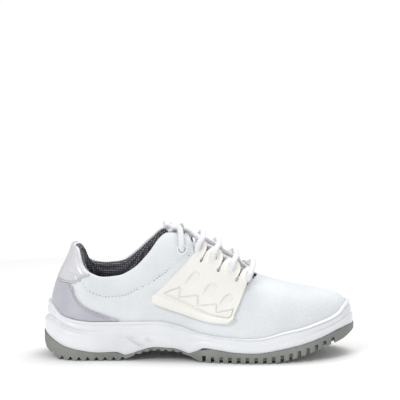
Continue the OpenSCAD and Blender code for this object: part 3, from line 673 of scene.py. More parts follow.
# %% [markdown]
# ## Linings and padding
# Inside the collar the lining swells over its foam: this is the soft roll that one sees
# through the mouth of the shoe. The lining is one ring, laid from the big-toe side round
# the heel, and it meets the upper's edge in a rounded roll: the outer half of the roll is
# the upper's white binding and the inner half is mesh.

# %% The collar's lining
collar_padding = 6
lining_end = 0.478
RING = crowded(0, lining_end, 60)
RING = [-s for s in reversed(RING[1:])] + RING


def ring_place(places, u):
    """The share and side at u, which runs from the big-toe side round the heel."""
    p = places[round(u * (len(places) - 1))]
    return abs(p), (1 if p < 0 else -1)


def swell(s, v):
    return (collar_padding * ease((v - 0.5) / 0.3) * (1 - 0.4 * ease((v - 0.85) / 0.15))
            * ease((0.42 - s) / 0.09))


def lining_point(u, v):
    s, side = ring_place(RING, u)
    return skin(s, side, top_turn(s, side) * v**0.9, foot_depth - 0.1 - swell(s, v**0.9))


lining = laid_grid("collar_mesh", len(RING) - 1, 56, lining_point)
lining.data.flip_normals()
apply(lining, "SOLIDIFY", thickness=0.9 * MM, offset=-1)
punch(lining, [drum("punch", *eyelet_place(side, foot_depth), 4.2, 9) for side in (-1, 1)])
apply(lining, "BEVEL", width=0.3 * MM, segments=2, limit_method="ANGLE",
      angle_limit=math.radians(60))
finished(lining, "shoe", "mesh_lining", mesh_lining, "collar_lining")


# %% The bound edge of the collar
def roll_point(u, v):
    """A roll over the collar's edge, from the upper's outer face to the lining."""
    s, side = ring_place(RING, u)
    turn = top_turn(s, side)
    angle = math.pi * v
    reach = (upper_depth - foot_depth + swell(s, 1)) / 2
    point = skin(s, side, turn - 0.5, upper_depth - reach + (reach + 0.1) * math.cos(angle))
    return point + Vector((0, 0, 2.2 * math.sin(angle)))


def half_roll(name, start, end, material, slot):
    """The roll's part from start to end, 0 at the upper and 1 at the lining."""
    roll = laid_grid(name, len(RING) - 1, 8, lambda u, v: roll_point(u, lerp(start, end, v)))
    apply(roll, "SOLIDIFY", thickness=0.5 * MM, offset=-1)
    finished(roll, "shoe", slot, material)


half_roll("collar_binding", 0, 0.45, upper_microfibre, "upper_microfibre")
half_roll("collar_mesh_roll", 0.45, 1, mesh_lining, "mesh_lining")

# %% [markdown]
# ## Panels at the heel
# A glossy coated panel wraps the heel from the sole's rim to a curved seam. Above it a
# glossy tab wraps the back of the collar and stands up, to pull the shoe on.

# %% The heel's panels
rim = Line((0, 53), (0.012, 51), (0.033, 46), (0.05, 42.5), (0.08, 40), (0.11, 38.5),
           (0.16, 37.2), (0.3, 37.5), (0.37, 38), (0.43, 34.5), (0.5, 28), (0.58, 24.8),
           (0.65, 23.7), (0.7, 24.5), (0.77, 29.5), (0.83, 32.6), (0.887, 37), (0.93, 40.5),
           (0.957, 44), (0.975, 48), (1, 51))
cover_top = Line((0, 73.5), (0.03, 73), (0.055, 72), (0.066, 70), (0.084, 62), (0.105, 55.5),
                 (0.124, 51.7), (0.15, 48), (0.176, 45.2), (0.21, 41.6), (0.24, 38.8))
tab_bottom = Line((0, 73.8), (0.055, 73), (0.0716, 73.6), (0.086, 75.8), (0.101, 78.4),
                  (0.125, 80.8))
cover_t, tab_t = 1.2, 1.6
cover_end, tab_end = 0.238, 0.12


def heel_ring(end, count):
    places = crowded(0, end, count)
    return [-s for s in reversed(places[1:])] + places


def panel(name, places, rows, low_z, high_turn, depth, sunk=0.0):
    def point(u, v):
        s, side = ring_place(places, u)
        low = turn_at(s, low_z(s))
        turn = lerp(low, high_turn(s, side), v)
        z = skin(s, side, turn, upper_depth).z
        lift = collar_puff(s, z)
        return skin(s, side, turn, depth + lift - sunk * (1 - ease(min(v, 1 - v) / 0.12)))
    return laid_grid(name, len(places) - 1, rows, point)


cover = panel("heel_panel", heel_ring(cover_end, 66), 30, lambda s: rim(s) + 0.4,
              lambda s, side: turn_at(s, cover_top(s)), cover_depth + cover_t, 0.2)
thicken(cover, cover_t, 0.35)
finished(cover, "shoe", "counter_gloss", counter_gloss, "heel_cover")
tab = panel("pull_tab", heel_ring(tab_end, 44), 34, tab_bottom,
            top_turn, cover_depth + tab_t, 0.3)
thicken(tab, tab_t, 0.5)
finished(tab, "shoe", "tab_gloss", tab_gloss, "heel_tab")

# %% [markdown]
# ## The midsole
# The midsole is one white foam moulding that cups the whole foot. Its wall is laid as a
# ring of sections, from the rubber up to the rim and down its inner face, and the mould's
# sculpture is pressed into each point: a rolled rim, a groove that sweeps round the heel,
# a fine hatched patch under the ankle and two raised ribs in front of it.

# %% Lines of the sole
rubber_waist, rubber_ball, toe_spring = 2.5, 9.5, 17
midsole_inset = 1.2
rim_depth = upper_depth + layer_gap
rubber_top = Line((0, 23.5), (0.03, 18.5), (0.07, 13), (0.115, 10), (0.18, 7.5), (0.235, 8),
                  (0.27, rubber_waist + 2.5), (0.3, rubber_waist + 6),
                  (0.36, rubber_waist + 10.5), (0.42, rubber_waist + 9.5),
                  (0.475, rubber_waist + 5), (0.515, rubber_ball + 4),
                  (0.56, rubber_ball + 2.5), (0.61, rubber_ball + 0.5), (0.67, rubber_ball),
                  (0.77, rubber_ball + 4), (0.83, 17), (0.88, toe_spring + 4),
                  (0.91, toe_spring + 7), (0.945, toe_spring + 10.5),
                  (0.98, toe_spring + 12.5), (1, toe_spring + 12.5))
sole_lean = Line((24, 0), (33, 0.8), (40, 2.2), (55, 3.6))
sole_face = Line((0, -midsole_inset), (0.15, -0.5), (0.35, -0.2), (0.5, -1), (0.65, -0.5),
                 (0.85, -0.9), (1, -1.6))
heel_groove = Line((0, 40), (0.03, 37.5), (0.06, 33), (0.1, 29.5), (0.15, 27.5), (0.22, 26.5))


def ridge_between(s, z, start, end, width):
    """1 on the straight rib from start to end, each a (share, height) pair, and 0 off it."""
    ax, az = start[0] * shoe_length, start[1]
    bx, bz = end[0] * shoe_length, end[1]
    px, pz = s * shoe_length - ax, z - az
    length = math.hypot(bx - ax, bz - az)
    along = (px * (bx - ax) + pz * (bz - az)) / length
    off = (px * (bz - az) - pz * (bx - ax)) / length
    inside = ease(along / 4) * ease((length - along) / 4)
    return inside * math.exp(-(off / width) ** 2)


def hatching(s, z):
    """Fine slanting lines in a leaf-shaped patch under the ankle."""
    inside = ease(1.25 - math.hypot((s - 0.245) / 0.045, (z - 19) / 10.5))
    return inside * math.sin((s * shoe_length * 0.8 + z) * 2 * math.pi / 2.6)


def sculpture(s, level, z):
    """How far the mould's relief stands out of the plain wall, in millimetres."""
    heel = ease((0.22 - s) / 0.12)
    relief = 0.95 * bump(level, 0.955, 0.05) - 0.75 * bump(level, 0.87, 0.04)
    relief -= 3.4 * heel * bump(z, heel_groove(s), 1.7)
    relief += 1.3 * heel * bump(z, heel_groove(s) - 4.2, 2.2)
    relief += 2.3 * ridge_between(s, z, (0.262, 24.5), (0.325, 14), 0.9)
    relief += 1.8 * ridge_between(s, z, (0.318, 24), (0.352, 18), 0.8)
    relief += 0.34 * hatching(s, z)
    toe = ease((s - 0.8) / 0.1)
    return relief - 0.5 * toe * bump(level, 0.52, 0.06)


# %% Lay the midsole
SOLE = crowded(0, 1, 200)
SOLE_RING = [-s for s in reversed(SOLE[1:])] + SOLE
WALL_LEVELS = steps(0, 0.84, 30) + steps(0.86, 1, 9)
INNER = [1, 0.75, 0.5, 0.25, 0]


def wall_point(s, side, level):
    x = edge_x(s, 0)
    low = rubber_top(edge_x(s, -midsole_inset) / shoe_length + 0.5) + layer_gap
    z = lerp(low, rim(s), level)
    depth = sole_face(level) + sculpture(s, level, z)
    over = 4 * max(0, (z - 30) / 20) ** 1.5 * s**8
    x = edge_x(s, depth) + sole_lean(z) * (1 - s) ** 4 - over
    return Vector((x, centre(s) + side * half_width(s, depth), z))


def midsole_point(u, v):
    s, side = ring_place(SOLE_RING, u)
    index = round(v * (len(WALL_LEVELS) + len(INNER) - 1))
    if index < len(WALL_LEVELS):
        return wall_point(s, side, WALL_LEVELS[index])
    share = INNER[index - len(WALL_LEVELS)]
    point = skin(s, side, share * turn_at(s, rim(s)), rim_depth)
    return point - Vector((0, 0, seat if share == 0 else 0))


midsole = laid_grid("midsole_wall", len(SOLE_RING) - 1, len(WALL_LEVELS) + len(INNER) - 1,
                    midsole_point)
sew(midsole)


nothing_selected()
midsole.select_set(True)
bpy.context.view_layer.objects.active = midsole
bpy.ops.object.mode_set(mode="EDIT")
bpy.ops.mesh.select_mode(type="EDGE")
for deck_rim in (True, False):
    bpy.ops.mesh.select_all(action="DESELECT")
    mesh = bmesh.from_edit_mesh(midsole.data)
    for edge in mesh.edges:
        if edge.is_boundary:
            middle = (edge.verts[0].co + edge.verts[1].co) / 2 / MM
            floor_z = (deck_at(middle.x) + rubber_top(middle.x / shoe_length + 0.5)) / 2
            edge.select_set((middle.z > floor_z) == deck_rim)
    bmesh.update_edit_mesh(midsole.data)
    bpy.ops.mesh.fill(use_beauty=True)
bpy.ops.object.mode_set(mode="OBJECT")
finished(midsole, "shoe", "midsole_foam", midsole_foam, "midsole", smooth=35)

# %% [markdown]
# ## The outsole
# The rubber's shape is right as the frame has it: its lugs, grooves and notches are cut
# across the sole. A moulded edge is never sharp, though, so a copy of it is cleaned up and
# every edge gets a small round.

# %% Soften the outsole
def copy_of(node, name):
    """A clean copy of a frame node: merged, with its flat stretches joined."""
    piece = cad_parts[node].copy()
    piece.data = piece.data.copy()
    piece.name = name
    piece.parent = None
    piece.matrix_world = Matrix.Identity(4)
    bpy.context.scene.collection.objects.link(piece)
    sew(piece, 0.01)
    open_mesh(piece)
    bpy.ops.mesh.dissolve_limited(angle_limit=math.radians(1))
    bpy.ops.object.mode_set(mode="OBJECT")
    return piece


outsole = copy_of("outsole", "lug_sole")
apply(outsole, "BEVEL", width=0.45 * MM, segments=2, limit_method="ANGLE",
      angle_limit=math.radians(28), use_clamp_overlap=True)
apply(outsole, "TRIANGULATE")
finished(outsole, "shoe", "rubber_tread", rubber_tread, "outsole", smooth=35)


# %% [markdown]
# The lugs stand on a web of the same rubber, so that the slits between them end in rubber.
# The web is a low wall just behind the lugs' faces.

# %% Lay the web behind the lugs
web_depth, web_floor = -3.2, 2.2


def web_point(u, v):
    s, side = ring_place(WEB, u)
    top = rubber_top(edge_x(s, -midsole_inset) / shoe_length + 0.5) - 0.6
    low = max(web_floor, top - 9)
    x = edge_x(s, web_depth)
    return Vector((x, centre(s) + side * half_width(s, web_depth), lerp(low, top, v)))


WEB = steps(0.53, 0.99, 90) + steps(-0.99, -0.53, 90)
web = laid_grid("tread_web", len(WEB) - 1, 4, web_point)
thicken(web, 1.2, 0.2)
finished(web, "shoe", "rubber_tread", rubber_tread)

# %% [markdown]
# ## The lace wings
# On each side a saddle of soft rubber spreads the laces' pull. From a thick rounded foot it
# fans into four tabs, and each tab has a hole for the lace. It is laid as one sheet whose
# columns follow the tabs, the reliefs are pressed into its outer face, and the holes are
# punched.

# %% The wing's lines
wing_t, wing_lift, hole_level = 2.6, 2.5, 0.885
wing_foot = Line((0, 56), (0.1, 52.5), (0.35, 46), (0.75, 37.5), (0.9, 36.8), (1, 40))
TAB_MIDDLES = [(k + 0.44) / 4 for k in range(4)]
hole_drop = Line(*zip(TAB_MIDDLES, (17, 24.5, 35, 43.5)))
hole_share = Line(*zip(TAB_MIDDLES, (0.49, 0.541, 0.598, 0.654)))
tab_root, tab_half, tab_columns = 0.755, 0.1165, 44


def wing_point(side, u, v, depth):
    s = lerp(lerp(0.337, 0.605, u), hole_share(u) + 0.002 * (u - 0.5), v / hole_level)
    z = lerp(wing_foot(u), instep_height - hole_drop(u), v / hole_level)
    return skin(s, side, turn_at(s, z), depth + wing_lift * ease((v - 0.6) / 0.3))


def near_line(u, v, *corners):
    """The distance in the wing's own plane, in about millimetres, to a bent line."""
    best = 99.0
    for (au, av), (bu, bv) in zip(corners, corners[1:]):
        ax, ay, bx, by = au * 72, av * 52, bu * 72, bv * 52
        length = math.hypot(bx - ax, by - ay)
        t = min(1, max(0, ((u * 72 - ax) * (bx - ax) + (v * 52 - ay) * (by - ay)) / length**2))
        best = min(best, math.hypot(u * 72 - ax - t * (bx - ax), v * 52 - ay - t * (by - ay)))
    return best


ZIGZAG = [(0.075, 0.20)]
for tooth in range(4):
    ZIGZAG += [(0.20 + 0.235 * tooth, 0.36 - 0.012 * tooth),
               (0.265 + 0.235 * tooth, 0.215 - 0.005 * tooth)]
ZIGZAG = ZIGZAG[:-1] + [(0.935, 0.17), (0.90, 0.125), (0.075, 0.20)]
TEARS = [(0.275, 0.64), (0.525, 0.61), (0.76, 0.56)]
tear_half = 4.6


def tear_step(u, v):
    """A scoop under an arch: 1 in its middle, 0 at its rim, fading downwards."""
    depth = 0.0
    for middle, top in TEARS:
        across, down = abs(u - middle) * 72, (top - v) * 52
        if down > 0:
            reach = math.sqrt(max(0, tear_half**2 - max(0, tear_half - down) ** 2))
            depth = max(depth, ease((reach - across) / 0.9) * (1 - ease((down - 4) / 11)))
    return depth


bead_h, groove_h, groove_w, ramp_h, tear_h, ring_h = 3.8, 1.8, 0.62, 0.7, 2.1, 0.5


def wing_relief(u, v):
    """The wing's height over its sheet: the lower bead, the ramp, grooves, tears and rings."""
    bead = bead_h * math.sqrt(max(0, 1 - ((v - 0.062) / 0.068) ** 2))
    groove = groove_h * math.exp(-(near_line(u, v, *ZIGZAG) / groove_w) ** 2)
    ramp = ramp_h * ease((0.6 - v) / 0.4)
    around = math.hypot((u % 0.25 - 0.11) * 72, (v - hole_level) * 46)
    ring = ring_h * math.exp(-((around - 4.4) / 0.7) ** 2) if v > 0.75 else 0
    return max(bead, ramp) - groove - tear_h * tear_step(u, v) + ring


def wing_columns():
    """Shares along the wing: each tab's columns, then the gap's."""
    columns = []
    for middle in TAB_MIDDLES:
        columns += steps(middle - tab_half, middle + tab_half, tab_columns)
    return columns


WING_ALONG = wing_columns()
TAB_GAPS = [{(tab_columns + 1) * k - 1, (tab_columns + 1) * k} for k in range(1, 4)]
TAB_ROWS = 30
WING_UP = steps(0, tab_root, 96) + steps(tab_root + 0.01, 1, TAB_ROWS)


def tab_width(v):
    """The half width of a tab: narrow at its root's slots, full at its hole, round at its end."""
    waist = 1 - 0.1 * bump(v, tab_root + 0.03, 0.03)
    return tab_half * waist * math.sqrt(max(0.03, 1 - (max(0, v - 0.86) / 0.145) ** 2.6))


def wing_uv(i, j):
    u, v = WING_ALONG[i], WING_UP[j]
    if v > tab_root:
        middle = TAB_MIDDLES[i // (tab_columns + 1)]
        u = middle + (u - middle) / tab_half * tab_width(v)
    corner = 0.07 * (bump(u, 0, 0.03) + bump(u, 1, 0.03)) if v < 0.1 else 0
    return u, max(v, corner)


# %% Lay a wing on each side
tab_hole_r = 2.9


def lay_wing(name, side):
    def point(u, v):
        i, j = round(u * (len(WING_ALONG) - 1)), round(v * (len(WING_UP) - 1))
        along, up = wing_uv(i, j)
        relief = wing_relief(along, up)
        return wing_point(side, along, up, cover_depth + wing_t + relief)

    wing = laid_grid(name, len(WING_ALONG) - 1, len(WING_UP) - 1, point)
    rows = len(WING_UP)
    mesh = bmesh.new()
    mesh.from_mesh(wing.data)
    mesh.verts.ensure_lookup_table()
    columns = len(WING_ALONG)
    slots = [f for f in mesh.faces
             if {v.index % columns for v in f.verts} in TAB_GAPS
             and min(v.index // columns for v in f.verts) >= rows - TAB_ROWS - 2]
    bmesh.ops.delete(mesh, geom=slots, context="FACES")
    inner = {}
    outer = list(mesh.faces)
    for vertex in list(mesh.verts):
        if not vertex.link_faces:
            continue
        along, up = wing_uv(vertex.index % columns, vertex.index // columns)
        low = wing_point(side, along, up, cover_depth) * MM
        inner[vertex] = mesh.verts.new(low)
    for face in outer:
        mesh.faces.new([inner[v] for v in reversed(face.verts)])
    for edge in [e for e in mesh.edges if e.is_boundary and e.verts[0] in inner
                 and e.verts[1] in inner]:
        loop = edge.link_loops[0]
        a, b = loop.vert, loop.link_loop_next.vert
        mesh.faces.new((b, a, inner[a], inner[b]))
    loose = [v for v in mesh.verts if not v.link_faces]
    bmesh.ops.delete(mesh, geom=loose, context="VERTS")
    bmesh.ops.recalc_face_normals(mesh, faces=mesh.faces)
    mesh.to_mesh(wing.data)
    mesh.free()
    drums = []
    for middle in TAB_MIDDLES:
        here = wing_point(side, middle, hole_level, cover_depth + wing_t / 2)
        along, up = (wing_point(side, middle + du, hole_level + dv, cover_depth)
                     - wing_point(side, middle - du, hole_level - dv, cover_depth)
                     for du, dv in ((0.03, 0), (0, 0.03)))
        drums.append(drum("punch", here, -side * along.cross(up).normalized(), tab_hole_r, 9))
    punch(wing, drums, "FAST")
    apply(wing, "BEVEL", width=0.55 * MM, segments=3, limit_method="ANGLE",
          angle_limit=math.radians(55), use_clamp_overlap=True)
    return wing


for name, side, replaced in (("wing_outer", -1, "lace_wing_lateral"),
                             ("wing_inner", 1, "lace_wing_medial")):
    finished(lay_wing(name, side), "shoe", "wing_rubber", wing_rubber, replaced, smooth=35)

# %% [markdown]
# ## Eyelets
# A moulded ring sits in the quarter's top hole. Half of its section is drawn as a bent line
# and spun round the hole's axis.

# %% Spin the eyelets
RING_SECTION = [(3.2, -4.4), (4.0, -4.4), (4.0, 0.0), (5.5, 0.0), (5.5, 0.5), (5.2, 1.1),
                (4.7, 1.4), (3.9, 1.4), (3.4, 1.1), (3.2, 0.6), (3.2, -4.4)]


def turned(name, section, middle, normal, sides=64):
    """A section of (radius, height) pairs spun round the normal at middle."""
    nothing_selected()
    bpy.ops.mesh.primitive_circle_add(vertices=len(section) - 1, radius=1)
    ring = bpy.context.object
    ring.name = name
    for vertex, (radius, height) in zip(ring.data.vertices, section):
        vertex.co = Vector((radius, 0, height)) * MM
    open_mesh(ring)
    bpy.ops.mesh.spin(steps=sides, angle=2 * math.pi, center=(0, 0, 0), axis=(0, 0, 1))
    bpy.ops.mesh.select_all(action="SELECT")
    bpy.ops.mesh.remove_doubles(threshold=0.01 * MM)
    bpy.ops.mesh.normals_make_consistent(inside=False)
    bpy.ops.object.mode_set(mode="OBJECT")
    ring.matrix_world = (Matrix.Translation(middle * MM)
                         @ normal.to_track_quat("Z", "Y").to_matrix().to_4x4())
    bpy.ops.object.transform_apply(location=True, rotation=True, scale=True)
    return ring


for side, node in ((-1, "eyelet_lateral"), (1, "eyelet_medial")):
    middle, normal = eyelet_place(side)
    ring = turned(node + "_ring", RING_SECTION, middle + normal * layer_gap, normal)
    finished(ring, "shoe", "eyelet_plastic", eyelet_plastic, node, smooth=30)

# %% [markdown]
# ## Laces
# One braided lace crosses the throat four times, over and under its other half, dips into
# each tab's hole from above and comes up behind the tab. Its route is a list of points on
# the last. The mesh is swept along the smoothed route: an oval section whose radius ripples
# like a braid's strands.

# %% The lace's route
lace_r = 2.5
lace_gap = 0.4


def over_tab(side, row, up, extra=0.0):
    return wing_point(side, TAB_MIDDLES[row], up,
                      cover_depth + wing_t + lace_r + lace_gap + extra)


def under_tab(side, row, up):
    return wing_point(side, TAB_MIDDLES[row], up, cover_depth - lace_r - lace_gap)


def crossing(row, lift):
    s = (hole_share(TAB_MIDDLES[row]) + hole_share(TAB_MIDDLES[max(0, row - 1)])) / 2
    return Vector((edge_x(s, 0), centre(s), ridge(s) + upper_depth - 3 + lift * (lace_r + 0.2)))


def crossing_run(side, row):
    return [over_tab(side, row, 1), over_tab(side, row, hole_level),
            under_tab(side, row, hole_level), under_tab(side, row, 1.02)]


knot_share, knot_lift = 0.417, 7.9
knot_middle = Vector((edge_x(knot_share, 0), centre(knot_share),
                      ridge(knot_share) + tongue_depth + knot_lift))


def eyelet_turn(side):
    return top_turn(eyelet_share, side) * eyelet_turn_share


def half_lace(side):
    inner = foot_depth - lace_r - lace_gap
    points = crossing_run(side, 3) + [crossing(3, side)]
    points += crossing_run(-side, 2) + [crossing(2, -side)]
    points += crossing_run(side, 1) + [crossing(1, side)]
    points += crossing_run(-side, 0)
    points += [Vector((edge_x(0.462, 0), centre(0.462),
                       ridge(0.462) + upper_depth - 3 + side * (lace_r + 0.2))),
               skin(0.452, side, (eyelet_turn(side) + 90) / 2, inner),
               skin(eyelet_share, side, eyelet_turn(side) + 4, inner),
               skin(eyelet_share, side, eyelet_turn(side), upper_depth - 2),
               skin(eyelet_share, side, eyelet_turn(side) + 2, upper_depth + lace_r + 2),
               skin(eyelet_share - 0.006, side, top_turn(eyelet_share, side) + 1,
                    upper_depth + lace_r + 1.4),
               knot_middle + Vector((2, side * 7.5, 1)),
               knot_middle + Vector((0, side * 2.5, 0.5))]
    return points


lace_middle = Vector((edge_x(0.668, 0), centre(0.668), ridge(0.668) + upper_depth + lace_r + 0.6))
LACE_ROUTE = list(reversed(half_lace(-1))) + [lace_middle] + half_lace(1)


# %% Sweep a braid
def smoothed(points, pitch):
    """A smooth curve through the points, with a step about every pitch millimetres."""
    path = []
    for i in range(len(points) - 1):
        a, b, c = points[max(i - 1, 0)], points[i], points[i + 1]
        d = points[min(i + 2, len(points) - 1)]
        count = max(2, round((c - b).length / pitch))
        for k in range(count):
            t = k / count
            path.append(0.5 * (2 * b + (c - a) * t + (2 * a - 5 * b + 4 * c - d) * t**2
                               + (3 * b - a - 3 * c + d) * t**3))
    return path + [points[-1]]


foot_middle_z, strand_pitch = 55, 4.2


def braid_ripple(angle, length):
    """The strands' relief: two sets of ridges that wind against each other."""
    strand = length * 2 * math.pi / strand_pitch
    one, two = math.sin(3 * angle + strand), math.sin(3 * angle - strand)
    return 0.16 * max(one, two)


def swept(name, route, width, thickness, sides=18, pitch=0.55):
    """An oval braid along the route, its flat side to the shoe, with round ends."""
    path = smoothed(route, pitch)
    rings, length, across = [], 0.0, None
    for i, point in enumerate(path):
        before = path[max(i - 1, 0)]
        tangent = (path[min(i + 1, len(path) - 1)] - before).normalized()
        out = point - Vector((point.x, centre(point.x / shoe_length + 0.5), foot_middle_z))
        wanted = tangent.cross(out.normalized())
        if across is None:
            across = wanted.normalized()
        carried = (across - tangent * across.dot(tangent)).normalized()
        if wanted.dot(carried) < 0:
            wanted = -wanted
        across = (carried + 0.12 * wanted).normalized()
        across = (across - tangent * across.dot(tangent)).normalized()
        up = tangent.cross(across)
        length += (point - before).length
        end = min(i, len(path) - 1 - i) * pitch
        shrink = math.sqrt(min(1, 0.15 + end / 2.2))
        ring = []
        for k in range(sides):
            angle = 2 * math.pi * k / sides
            ripple = braid_ripple(angle, length)
            ring.append(point + shrink * ((width / 2 + ripple) * math.cos(angle) * across
                                          + (thickness / 2 + ripple) * math.sin(angle) * up))
        rings.append(ring)

    columns, rows = sides, len(rings) - 1
    cord = laid_grid(name, columns, rows, lambda u, v: rings[round(v * rows)][
        round(u * columns) % sides])
    sew(cord, 0.005)
    open_mesh(cord)
    bpy.ops.mesh.fill_holes(sides=sides + 2)
    bpy.ops.mesh.select_all(action="SELECT")
    bpy.ops.mesh.normals_make_consistent(inside=False)
    bpy.ops.object.mode_set(mode="OBJECT")
    print(name, "is", round(length), "mm long")
    return cord


lace = swept("braided_lace", LACE_ROUTE, 5.4, 4.3)
finished(lace, "shoe", "lace_cord", lace_cord, "lace", smooth=60)

# %% [markdown]
# ## The knot and the two ends
# A shoe knot is the lace turned round itself. A trefoil line is the simplest closed path
# with that over-and-under, so the knot is a braid swept along a flattened trefoil. The two
# short ends hang on the big-toe side and finish in moulded tips.

# %% Tie the knot
def trefoil(size, count=36):
    points = []
    for i in range(count + 1):
        t = 2 * math.pi * i / count
        points.append(knot_middle + Vector((
            size[0] * (math.sin(t) + 2 * math.sin(2 * t)) / 3,
            size[1] * (math.cos(t) - 2 * math.cos(2 * t)) / 3,
            -size[2] * math.sin(3 * t))))
    return points


knot = swept("lace_knot_braid", trefoil((6.6, 5.2, 2.6)), 4.6, 3.9, sides=16)
finished(knot, "shoe", "lace_cord", lace_cord, "lace_knot", smooth=60)

tail_shares, tail_drops, aglet_l = (0.378, 0.402), (38, 30), 18


def tail_point(k, drop, away=0.5):
    s = tail_shares[k]
    return skin(s, 1, turn_at(s, instep_height - drop), upper_depth + lace_r + away)


for k in (0, 1):
    s = tail_shares[k]
    route = [knot_middle + Vector((3 * k - 3, 4, 0)), knot_middle + Vector((6 * k - 6, 7.5, 0)),
             skin(s, 1, top_turn(s, 1) + 2, upper_depth + lace_r + 1.2),
             tail_point(k, 6), tail_point(k, 13), tail_point(k, tail_drops[k] - aglet_l * 0.4)]
    tail = swept("lace_end_%d" % (k + 1), route, 4.8, 3.9, sides=16)
    finished(tail, "shoe", "lace_cord", lace_cord, "lace", smooth=60)
    tip_from, direction = route[-1], (route[-1] - route[-2]).normalized()
    TIP = [(0.01, 0), (1.55, 0), (1.7, 0.25), (1.7, aglet_l - 0.8), (1.35, aglet_l - 0.15),
           (0.8, aglet_l), (0.01, aglet_l), (0.01, 0)]
    tip = turned("lace_tip_%d" % (k + 1), TIP, tip_from + 0.1 * direction, direction, 32)
    finished(tip, "shoe", "aglet_plastic", aglet_plastic, "aglets", smooth=40)

# %% [markdown]
# ## The tongue and the footbed
# The tongue is padding between a white skin and a mesh lining, so it is laid thick, crowned
# along its middle and rounded at its rim, with a stitched channel inside the rim that pulls
# the skin down. The footbed's cloth is one thin sheet that cups up at its edge.

# %% The tongue
tongue_start, tongue_end = 0.388, 0.698
tongue_t = 5.2


def tongue_low(s):
    return 38 + 22 * ease((s - 0.5) / 0.19)


def tongue_level(s, depth):
    return depth + (foot_depth - 1.3 - tongue_depth) * ease((s - 0.63) / 0.06)


def tongue_point(depth, inset=0.0):
    def point(u, v):
        s = lerp(tongue_start + inset / 600, tongue_end - inset / 150, u)
        side, up = (-1, 2 * v) if v <= 0.5 else (1, 2 - 2 * v)
        turn = lerp(tongue_low(s) + inset, 90, up)
        edge = min(up * 2, u * 6)
        crown = 0.9 * ease(edge / 0.6) - 0.9
        channel = 0.7 * bump(edge, 0.28, 0.05) if s < 0.6 else 0
        free = ease((0.62 - s) / 0.1)
        return skin(s, side, turn, tongue_level(s, depth) + free * (crown - channel))
    return point


tongue = laid_grid("tongue_pad", 90, 72, tongue_point(tongue_depth))
thicken(tongue, tongue_t, 1.5, 4)
finished(tongue, "tongue", "upper_microfibre", upper_microfibre, "tongue_skin", "tongue_foam",
         smooth=60)
tongue_mesh = laid_grid("tongue_mesh", 60, 48, tongue_point(tongue_depth - tongue_t - 0.15, 1.5))
thicken(tongue_mesh, 1.0, 0.3)
finished(tongue_mesh, "tongue", "mesh_lining", mesh_lining, "tongue_lining", smooth=60)


# %% The footbed's cloth
board_t, footbed_t, footbed_cup = 3, 4, 4
footbed_depth = foot_depth - 2.6


def footbed_point(u, v):
    s, across = 0.5 - 0.5 * math.cos(math.pi * lerp(0.046, 0.954, u)), 2 * v - 1
    x = edge_x(s, footbed_depth)
    x += back_lean(deck_at(x) + board_t + footbed_t + footbed_cup) * (1 - s) ** 4
    rise = footbed_t + footbed_cup * abs(across) ** 3 * (1 - 0.7 * s)
    z = deck_at(x) + board_t + 2 * layer_gap + rise + 0.9
    return Vector((x, centre(s) + half_width(s, footbed_depth) * across, z))


bed = laid_grid("footbed_cover", 110, 40, footbed_point)
thicken(bed, 0.8, 0.25)
finished(bed, "footbed", "footbed_cloth", footbed_cloth, "footbed_cloth", smooth=60)

# %% [markdown]
# ## Stitches
# Seams show as short round stitches that stand a little out of the sheet. One stitch is
# modelled and copied along each seam, turned to the seam's direction, with its middle just
# above the surface.

# %% Sew the seams
stitch_lift = 0.2


def one_stitch(length, thickness):
    """A stitch along X with round ends, in metres."""
    nothing_selected()
    bpy.ops.mesh.primitive_uv_sphere_add(segments=8, ring_count=6, radius=0.5)
    stitch = bpy.context.object
    stitch.scale = (length * MM, thickness * MM, thickness * MM)
    bpy.ops.object.transform_apply(location=False, rotation=False, scale=True)
    return stitch


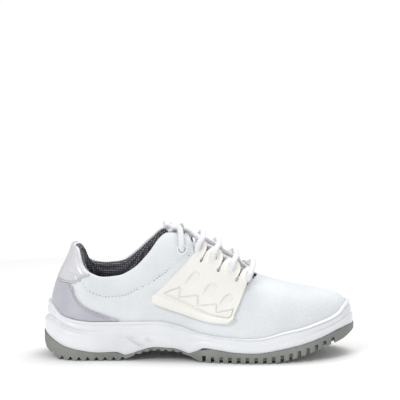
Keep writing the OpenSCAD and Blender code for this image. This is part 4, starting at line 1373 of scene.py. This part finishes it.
def seam(name, line, material, length=2.2, thickness=0.8, pitch=3.1, body="shoe"):
    """Stitches along a line of (place, outward normal) pairs in millimetres."""
    pattern = one_stitch(length, thickness)
    mesh = bmesh.new()
    run = 0.0
    for (a, normal), (b, _) in zip(line, line[1:]):
        run += (b - a).length
        if run < pitch:
            continue
        run -= pitch
        along = (b - a).normalized()
        up = (normal - along * normal.dot(along)).normalized()
        turn = Matrix((along, up.cross(along), up)).transposed().to_4x4()
        copy = pattern.data.copy()
        copy.transform(Matrix.Translation((b + stitch_lift * up) * MM) @ turn)
        mesh.from_mesh(copy)
        bpy.data.meshes.remove(copy)
    pattern.name = name
    mesh.to_mesh(pattern.data)
    mesh.free()
    return finished(pattern, body, "upper_microfibre", material, smooth=80)


def along_upper(side, start, end, height, lift=0.0, count=900):
    """Places on the upper's face at height(s), with the padding's swell."""
    line = []
    for s in steps(start, end, count):
        turn = turn_at(s, height(s))
        depth = upper_depth + collar_puff(s, height(s)) + lift
        line.append((skin(s, side, turn, depth), outward(s, side, turn)))
    return line


for side, name in ((-1, "lateral"), (1, "medial")):
    seam("collar_stitches_" + name, along_upper(side, 0.092, 0.466, collar_seam), thread, 2.0, 0.75)
    panel_lift = layer_gap + cover_t - 0.1
    for row, inset in enumerate((1.3, 3.2)):
        seam("panel_stitches_%s_%d" % (name, row + 1),
             along_upper(side, 0.05, 0.215, lambda s: cover_top(s) - inset, panel_lift),
             thread, 1.9, 0.7, 2.6)
    seam("tab_stitches_" + name,
         along_upper(side, 0.004, 0.112, lambda s: tab_bottom(s) + 1.4, layer_gap + tab_t - 0.1),
         thread, 1.9, 0.7, 2.6)

# %% [markdown]
# ## Inside pieces
# The frame's own pieces that stay, such as the shank, the board and the stiffeners, are
# hidden in use, but each still gets the finish of its material.

# %% Finish the pieces that stay
INSIDE = {"shank": shank_steel, "insole_board": fibre_board, "footbed_foam": footbed_foam,
          "vamp_lining": white_lining, "collar_foam": padding_foam, "toe_puff": stiffener,
          "heel_counter": stiffener, "facing_lateral": facing_tape, "facing_medial": facing_tape}
for node, material in INSIDE.items():
    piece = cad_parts[node]
    piece.data.materials.clear()
    piece.data.materials.append(material)
print(len(INSIDE), "inside pieces have their finish")
